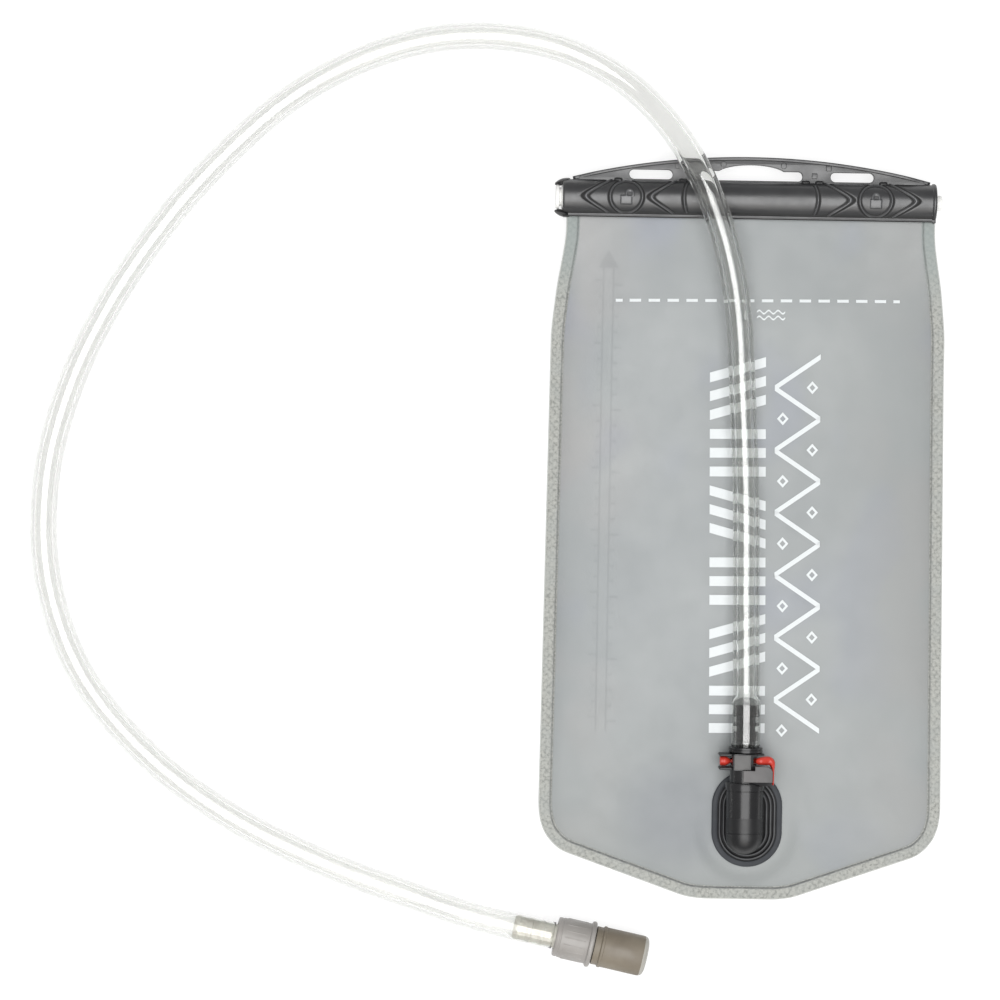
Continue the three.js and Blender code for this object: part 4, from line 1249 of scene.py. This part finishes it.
def add_flange():
    """The welded flange: a smooth outer band, three ribs between grooves and a dished middle."""
    crest, floor = 1.55, 0.35
    centre = (FLANGE_X, FLANGE_Y)
    straight = FLANGE_HALF_LENGTH - FLANGE_HALF_WIDTH
    # (inset from the outline, height)
    profile = [(0, 0), (0, 0.55), (0.35, 0.95), (0.9, 1.08), (2.15, 1.12), (2.4, 1.0)]
    for rib in (3.4, 5.15, 7.0):
        profile += [(rib - 0.85, floor), (rib - 0.55, floor), (rib - 0.3, crest - 0.1)]
        profile += [(rib - 0.15, crest), (rib + 0.2, crest)]
        profile += [(rib + 0.4, crest - 0.15), (rib + 0.5, 0.8)]
    profile += [(7.9, 0.6), (8.4, 0.95), (10.2, 1.05)]
    steps = 48
    loops = []
    for inset, z in profile:
        loops.append((upright_stadium(FLANGE_HALF_WIDTH - inset, straight, centre, steps), z))
    hole = circle_points(4.5, 2 * steps, (PORT.x, INLET_Y))
    loops += [(hole, 1.05), (hole, 0)]
    rings = [[(x, y, FLANGE_Z + z) for x, y in loop] for loop, z in loops]
    faces = grid_faces(len(rings), 2 * steps, wrap_columns=True, wrap_rows=True)
    flange = fix_normals(make_object("flange", rings, faces, MATERIALS["flange"]))
    flange.data.materials.append(MATERIALS["flange_band"])
    flange.data.materials.append(MATERIALS["flange_rib_highlight"])
    for polygon in flange.data.polygons:
        x, y, z = np.array(polygon.center) / MM
        inset = -stadium_distance(x, y, centre, FLANGE_HALF_WIDTH, FLANGE_HALF_LENGTH)
        # Faces on the rib crests take the painted highlight; the outer band takes its own bluish
        # tone.
        polygon.material_index = 2 if z > FLANGE_Z + 1.25 else int(inset < 2.5)
    smooth_by_angle(flange, 28)
    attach(flange, "bladder")
    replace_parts(flange, "port_flange")


def add_elbow():
    """The elbow: a dome on a foot, with a ring and a narrower neck, hollow for the valve."""
    r = ELBOW_RADIUS
    dome = [(r * math.sin(a), DOME_Y - r * math.cos(a)) for a in np.linspace(0, math.pi / 2, 14)]
    outside = [
        *dome, (r, -135.2), (r - 0.14, -135.1), (r - 0.14, -134.8), (r, -134.7), (r, -128.5),
        (r + 0.06, -128.2), (r + 0.06, -116.5), (r - 0.12, -116.4), (r - 0.12, -116.1),
        (8.6, -116.0), (8.65, -115.8), (8.65, -113.0), (8.5, -112.75), (6.8, -112.65),
        (6.8, -105.7), (6.7, -105.6), (4.7, -105.6),
    ]
    inside = [(4.7, -114.5), (3, -114.6), (3, -115.8), (5.2, -116), (5.2, -134), (0, -134)]
    body = turned("elbow_body", outside + inside, MATERIALS["moulding"], 72, angle=30)
    foot_floor = 8.8 - PORT.z
    rings = []
    for inset, rise in ((0.0, 0.0), (0.0, 3.2), (0.8, 4.2), (2.4, 4.6)):
        ring = upright_stadium(7.4 - inset, 5.6, (0, -126.5), 24)
        rings.append([(x, y, foot_floor + rise) for x, y in ring])
    foot = lofted("foot", rings, MATERIALS["moulding"])
    below = soft_box("below", (-20, -160, -30), (20, -90, foot_floor), MATERIALS["moulding"], 0.01)
    cut(body, below)
    body.data.materials.append(MATERIALS["moulding_dull"])
    for polygon in body.data.polygons:
        polygon.material_index = int(polygon.center.y < -128.2 * MM)
    elbow = place(joined("elbow", [body, foot]), PORT_FRAME)
    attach(elbow, "bladder")
    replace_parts(elbow, "port_elbow")


def prism(name, outline, low_y, high_y, material, bevel):
    """An outline in (x, z) carried along Y, with bevelled ends."""
    mesh = bpy.data.meshes.new(name)
    with edited(mesh) as bm:
        low, high = (
            [bm.verts.new(Vector((x, y, z)) * MM) for x, z in outline] for y in (low_y, high_y)
        )
        for quad in zip(low, low[1:] + low[:1], high[1:] + high[:1], high):
            bm.faces.new(quad)
        bm.faces.new(low)
        bm.faces.new(high)
        bmesh.ops.recalc_face_normals(bm, faces=bm.faces)
        bmesh.ops.bevel(
            bm,
            geom=list(bm.edges),
            offset=bevel * MM,
            segments=2,
            affect="EDGES",
            clamp_overlap=True,
        )
    return smooth_by_angle(add_mesh(name, mesh, material), 40)


def laid_along_x(obj, centre):
    """Turns a piece from the Y axis onto X and moves it to a centre."""
    along_x = Matrix.Rotation(-math.pi / 2, 4, "Z")
    return place(obj, Matrix.Translation(Vector(centre) * MM) @ along_x)


def round_bar(name, radius, low, high, centre, material, sides=28, end=0.6):
    """A round bar along X with softly rounded ends."""
    profile = rounded_profile([(0, low), (radius, low), (radius, high), (0, high)], end, 5)
    return laid_along_x(turned(name, profile, material, sides), centre)


def add_housing():
    """The band that holds the latch: chamfered, with a fork on its left and a lip on its right."""
    solid, dull, y = MATERIALS["moulding"], MATERIALS["moulding_dull"], LATCH_Y
    low_y, high_y = -106.9, -99.7
    section = [(-6.3, -6.6), (-5.5, -8.0), (1.7, -8.0), (5.0, -4.9)]
    section += [(x, -z) for x, z in section[::-1]]
    band = prism("band", section, low_y, high_y, solid, 0.3)
    bore_line = [(0, low_y - 1), (7.1, low_y - 1), (7.1, -105.3), (4.6, -105.2), (4.6, high_y + 1)]
    cut(
        band,
        turned("bore", [*bore_line, (0, high_y + 1)], solid, 48),
        soft_box("slot", (-12, y - 1.5, -5.9), (12, y + 1.5, 5.9), solid, 0.02),
        soft_box("pocket", (-3.4, y - 1.5, -12), (4, y + 1.5, -5.5), solid, 0.02),
        round_bar("hole", 2.5, -3, 3, (6.6, y, 0), solid, end=0.01),
        soft_box("mouth", (2.4, y - 2.2, 1.5), (12, y + 2.4, 6.7), solid, 0.1),
    )
    fork = []
    for low in (high_y - 1.2, low_y):
        fork.append(soft_box("prong", (-11.8, low, -5), (-5.4, low + 1.2, 5), dull))
    lip = soft_box("lip", (4.4, high_y - 0.7, -3.6), (8.2, high_y, 3.6), dull)
    # The top face takes the lighter copy of the moulding, a painted highlight.
    face_low, face_high = (-5.4, low_y + 0.35, 7.75), (1.6, high_y - 0.35, 8.12)
    face = soft_box("face", face_low, face_high, MATERIALS["moulding_painted_highlight"], 0.12)
    housing = place(joined("housing", [band, *fork, lip, face]), PORT_FRAME)
    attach(housing, "bladder")
    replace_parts(housing, "coupler_housing")


def latch_arm():
    """The latch's right arm: a bullet-ended bar that bends into the thin strip beside the pad."""
    # (x from the socket's axis, y, half width across, half height)
    path = np.array([
        (4.3, -103.0, 0.2, 0.2), (4.4, -103.0, 0.65, 0.6), (4.8, -102.95, 1.15, 1.0),
        (5.6, -102.85, 1.55, 1.4), (6.8, -102.75, 1.8, 1.8), (8.4, -102.65, 1.95, 2.0),
        (9.8, -102.65, 2.0, 2.1), (10.8, -102.9, 1.95, 2.2), (11.5, -103.5, 1.65, 2.4),
        (11.9, -104.6, 1.2, 2.8), (12.05, -106.0, 0.8, 3.2), (12.1, -108.0, 0.6, 3.4),
        (12.1, -110.5, 0.55, 3.4), (12.1, -112.9, 0.5, 3.3), (12.1, -113.3, 0.3, 3.0),
    ])
    steps = np.linspace(0, len(path) - 1, 6 * len(path))
    path = np.stack([np.interp(steps, np.arange(len(path)), column) for column in path.T], axis=1)
    path = softened(path, 4)
    tangent = unit(np.gradient(path[:, :2], axis=0))
    side = np.stack([-tangent[:, 1], tangent[:, 0]], axis=1)
    turn = full_turn(28)
    across = np.sign(np.cos(turn)) * np.abs(np.cos(turn)) ** 0.85
    flat = path[:, None, :2] + side[:, None] * (path[:, 2][:, None] * across)[..., None]
    lift = 4.4 - 2.0 * smoothstep(6, 11, path[:, 0])
    height = path[:, 3][:, None] * np.sin(turn) + lift[:, None]
    return lofted("arm", np.dstack([flat, height]), MATERIALS["latch_red"], 50)


def add_latch():
    """The red latch: windowed plate, ribbed lug in the fork, and the arm that holds the pad."""
    red, y, half = MATERIALS["latch_red"], LATCH_Y, 1.2
    window = turned("window", [(0, y - 3), (4.6, y - 3), (4.6, y + 3), (0, y + 3)], red, 40)
    for vert in window.data.vertices:
        if vert.co.x > 0:
            vert.co.x += 1.6 * MM
    body = soft_box("plate", (-5.6, y - half, -5.6), (7.3, y + half, 5.6), red, 0.3)
    notch = soft_box("notch", (4.5, y - 3, 2.9), (9, y + 3, 9), red, 0.01)
    shelf = soft_box("shelf", (2.2, y - 3, 3.6), (9, y + 3, 9), red, 0.01)
    cut(body, window, notch, shelf)
    lug_line = [(0, -11.4), (2.05, -11.4), (2.15, -9.2), (1.9, -8.2), (1.35, -7.3)]
    lug_line = rounded_profile([*lug_line, (0.7, -6.6), (0, -6.3)], 0.5)
    lug = laid_along_x(turned("lug", lug_line, red, 32), (0, y, 0))
    ribs = []
    for x in (-10.8, -10.0, -9.2):
        ribs.append(round_bar("rib", 2.16, x - 0.2, x + 0.2, (0, y, 0), red, 32, 0.18))
    neck = soft_box("neck", (-7.4, y - 0.6, -1.8), (-5, y + 0.6, -0.4), red, 0.2)
    tongue = soft_box("tongue", (2.6, y - half, -7.4), (3.5, y + half, -5.4), red, 0.2)
    latch = place(joined("latch", [body, lug, *ribs, neck, latch_arm(), tongue]), PORT_FRAME)
    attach(latch, "latch")
    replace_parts(latch, "latch_plate")


def add_thumb_pad():
    """The push pad: a flat plate with a rounded corner and a dark skirt off its lower edge, its top
    painted a lighter grey than the black mouldings as a painted highlight.
    """
    edge = [(-1.2, -111.7), (11.3, -111.7)]
    edge += bezier((11.35, -107.6), (11.2, -106.2), (10.3, -105.2), (8.6, -105.1), 12)
    edge += [(4.0, -105.1), (4.0, -107.05), (-1.2, -107.05)]
    # The top plate takes the pad's lighter grey, a painted highlight.
    top = plate("pad_top", edge, [], 8.2, 9.4, MATERIALS["pad"], 0.25, 3)
    rings = []
    lower = ((-1.1, -112.0, 8.3), (3.0, -112.45, 8.5), (6.5, -113.3, 8.2), (11.3, -113.9, 5.8))
    for x, y, z in lower:
        rings.append([(x, -111.4, 9.1), (x, y, z), (x, y + 0.6, z - 0.6), (x, -110.6, 7.9)])
    skirt = lofted("skirt", rings, MATERIALS["moulding"], 30)
    wall = soft_box("wall", (9.75, -112.3, -3), (11.1, -105.6, 8.4), MATERIALS["moulding"])
    pad = place(joined("push_pad", [top, skirt, wall]), PORT_FRAME)
    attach(pad, "latch")
    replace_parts(pad, "thumb_pad")


# ---------------------------------------------------------------- hose plug and bite valve


def add_plug():
    """The hose's plug: nose with its seal groove, latch groove, disc and barb."""
    y = LATCH_Y
    profile = [
        (1.9, -113.7), (3.7, -113.7), (4.1, -113.4), (4.2, -113.0), (4.2, -110.6), (3, -110.5),
        (3, -108.5), (4.2, -108.4), (4.2, y - 1.5), (3.4, y - 1.3), (3.4, y + 1.3), (4.2, y + 1.5),
        (4.2, -99.4), (7.2, -99.4), (7.55, -99.15), (7.6, -98.9), (7.6, -98.2), (7.35, -98.1),
        (7.35, -97.9), (7.6, -97.8), (7.6, -97.1), (7.35, -96.95), (6.6, -96.9), (4.2, -96.8),
        (1.9, -96.8),
    ]
    barb = [
        (1.9, -96.9), (4.2, -96.9), (4.2, -94.1), (5.3, -94.0), (5.5, -93.7), (5.5, -90.2),
        (5.3, -89.9), (4.2, -89.8), (4.2, -87.5), (5.7, -87.4), (5.95, -87.1), (5.95, -86.3),
        (5.7, -86.0), (4.2, -85.9), (4.2, -83.4), (5.9, -83.3), (6.15, -83.0), (6.15, -82.6),
        (5.65, -78.5), (5.4, -78.2), (1.9, -78.2),
    ]
    pieces = [
        turned("plug_body", profile, MATERIALS["moulding"], 72, close=True, angle=30),
        turned("barb", barb, MATERIALS["barb"], 72, close=True, angle=30),
    ]
    plug = place(joined("plug", pieces), PORT_FRAME)
    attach(plug, "hose")
    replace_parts(plug, "hose_plug")
    return plug


def add_bite_valve():
    """Frosted stem, twist collar and soft sleeve with its slit, on the valve's own axis."""
    stem_line = [(1.8, 0.5)]
    for y in (0.8, 6.4, 12.0):
        stem_line += [(4.9, y), (5.5, y + 1.6), (5.55, y + 2.4), (5.1, y + 2.7), (5.1, y + 5.2)]
    stem_line += [
        (5.1, 18.0), (5.1, 19.3), (5.3, 19.35), (5.4, 19.6), (5.4, 21.0), (5.2, 21.2), (4.2, 21.4),
        (4.2, 23.6), (3.6, 23.7), (3.6, 25.7), (4.2, 25.8), (4.2, 37.8), (3.9, 38), (0, 38),
        (0, 36), (1.8, 35.8),
    ]
    stem = turned("valve_stem", stem_line, MATERIALS["frosted"], 56, close=True, angle=30)
    collar_line = [
        (6.1, 20.1), (7.9, 20), (8.5, 20.15), (8.75, 20.6), (8.85, 21.6), (8.65, 21.9),
        (8.65, 22.2), (8.9, 22.5), (9.1, 26), (9.15, 31), (9.1, 34.6), (9.25, 34.9), (9.7, 35.1),
        (10.15, 35.35), (10.3, 35.8), (10.3, 36.5), (10.1, 36.9), (9.6, 37.15), (9.0, 37.3),
        (5.3, 37.4), (5.3, 22), (6.1, 21.8),
    ]
    grip = [turned("twist_collar", collar_line, MATERIALS["collar"], 96, close=True, angle=32)]
    for angle in full_turn(18):
        fin = soft_box("fin", (8.7, 24.0, -0.3), (9.24, 33.4, 0.3), MATERIALS["collar"], 0.28)
        grip.append(place(fin, Matrix.Rotation(angle, 4, "Y")))
    collar = joined("shutoff_grip", grip)
    sleeve_line = [
        (5.3, 37.7), (8.5, 37.7), (8.55, 38.2), (8.5, 40.3), (8.7, 40.5), (9.25, 40.8), (9.3, 41.3),
        (9.25, 41.8), (8.95, 42.1), (8.95, 46), (9.0, 52), (9.0, 58.6), (8.9, 59.6), (8.5, 60.6),
        (7.6, 61.3), (6.3, 61.65), (3, 61.85), (0, 61.9), (0, 59), (6, 58.5), (6.3, 57),
        (6.3, 41.4), (7.9, 41.3), (7.9, 39), (5.3, 39),
    ]
    sleeve = turned("sleeve", sleeve_line, MATERIALS["silicone"], 96, close=True)
    # The rounded end takes the lighter silicone: partly thin translucent lip, partly painted
    # highlight.
    sleeve.data.materials.append(MATERIALS["silicone_lip_and_highlight"])
    for polygon in sleeve.data.polygons:
        x, y, z = polygon.center
        polygon.material_index = int(y > 59.4 * MM and math.hypot(x, z) > 5 * MM)
    cut(sleeve, soft_box("slit", (-4, 56, -0.4), (4, 63, 0.4), MATERIALS["silicone"], 0.35))
    rows = (
        (stem, "hose", "bite_stem", "frosted"),
        (collar, "mouthpiece", "shutoff_collar", "collar"),
        (sleeve, "mouthpiece", "bite_sleeve", "silicone"),
    )
    for piece, body, node, slot in rows:
        place(piece, VALVE_FRAME)
        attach(piece, body)
        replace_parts(piece, node)
    return [stem, collar, sleeve]


# ---------------------------------------------------------------- the whole scene


def finish_cad_nodes():
    """The hidden springs, seals and valve parts keep their shape and take a finished material."""
    finishes = {
        "latch_spring": "steel",
        "poppet_spring": "steel",
        "valve_poppet": "frosted",
        "poppet_seal": "seal",
        "plug_o_ring": "seal",
        "stem_o_ring": "seal",
        "valve_core": "frosted",
    }
    for node, material in finishes.items():
        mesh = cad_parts[node].data
        mesh.materials.clear()
        mesh.materials.append(MATERIALS[material])


add_camera()
set_colours()
add_world(0.38)
add_area("overhead", (0, -0.2, 1.9), (1.8, 1.8), 41, aim=(0, -0.2, 0))
add_area("front", (0, -1.85, 1.9), (2.0, 1.5), 16, (1, 0.97, 0.93), aim=(0, 0, 0))
add_floor()
hose, hose_line, hose_length = add_hose()
plug = add_plug()
valve_pieces = add_bite_valve()
add_films()
add_weld()
add_prints()
add_scale()
add_closure()
add_rails()
add_flange()
add_elbow()
add_housing()
add_latch()
add_thumb_pad()
finish_cad_nodes()
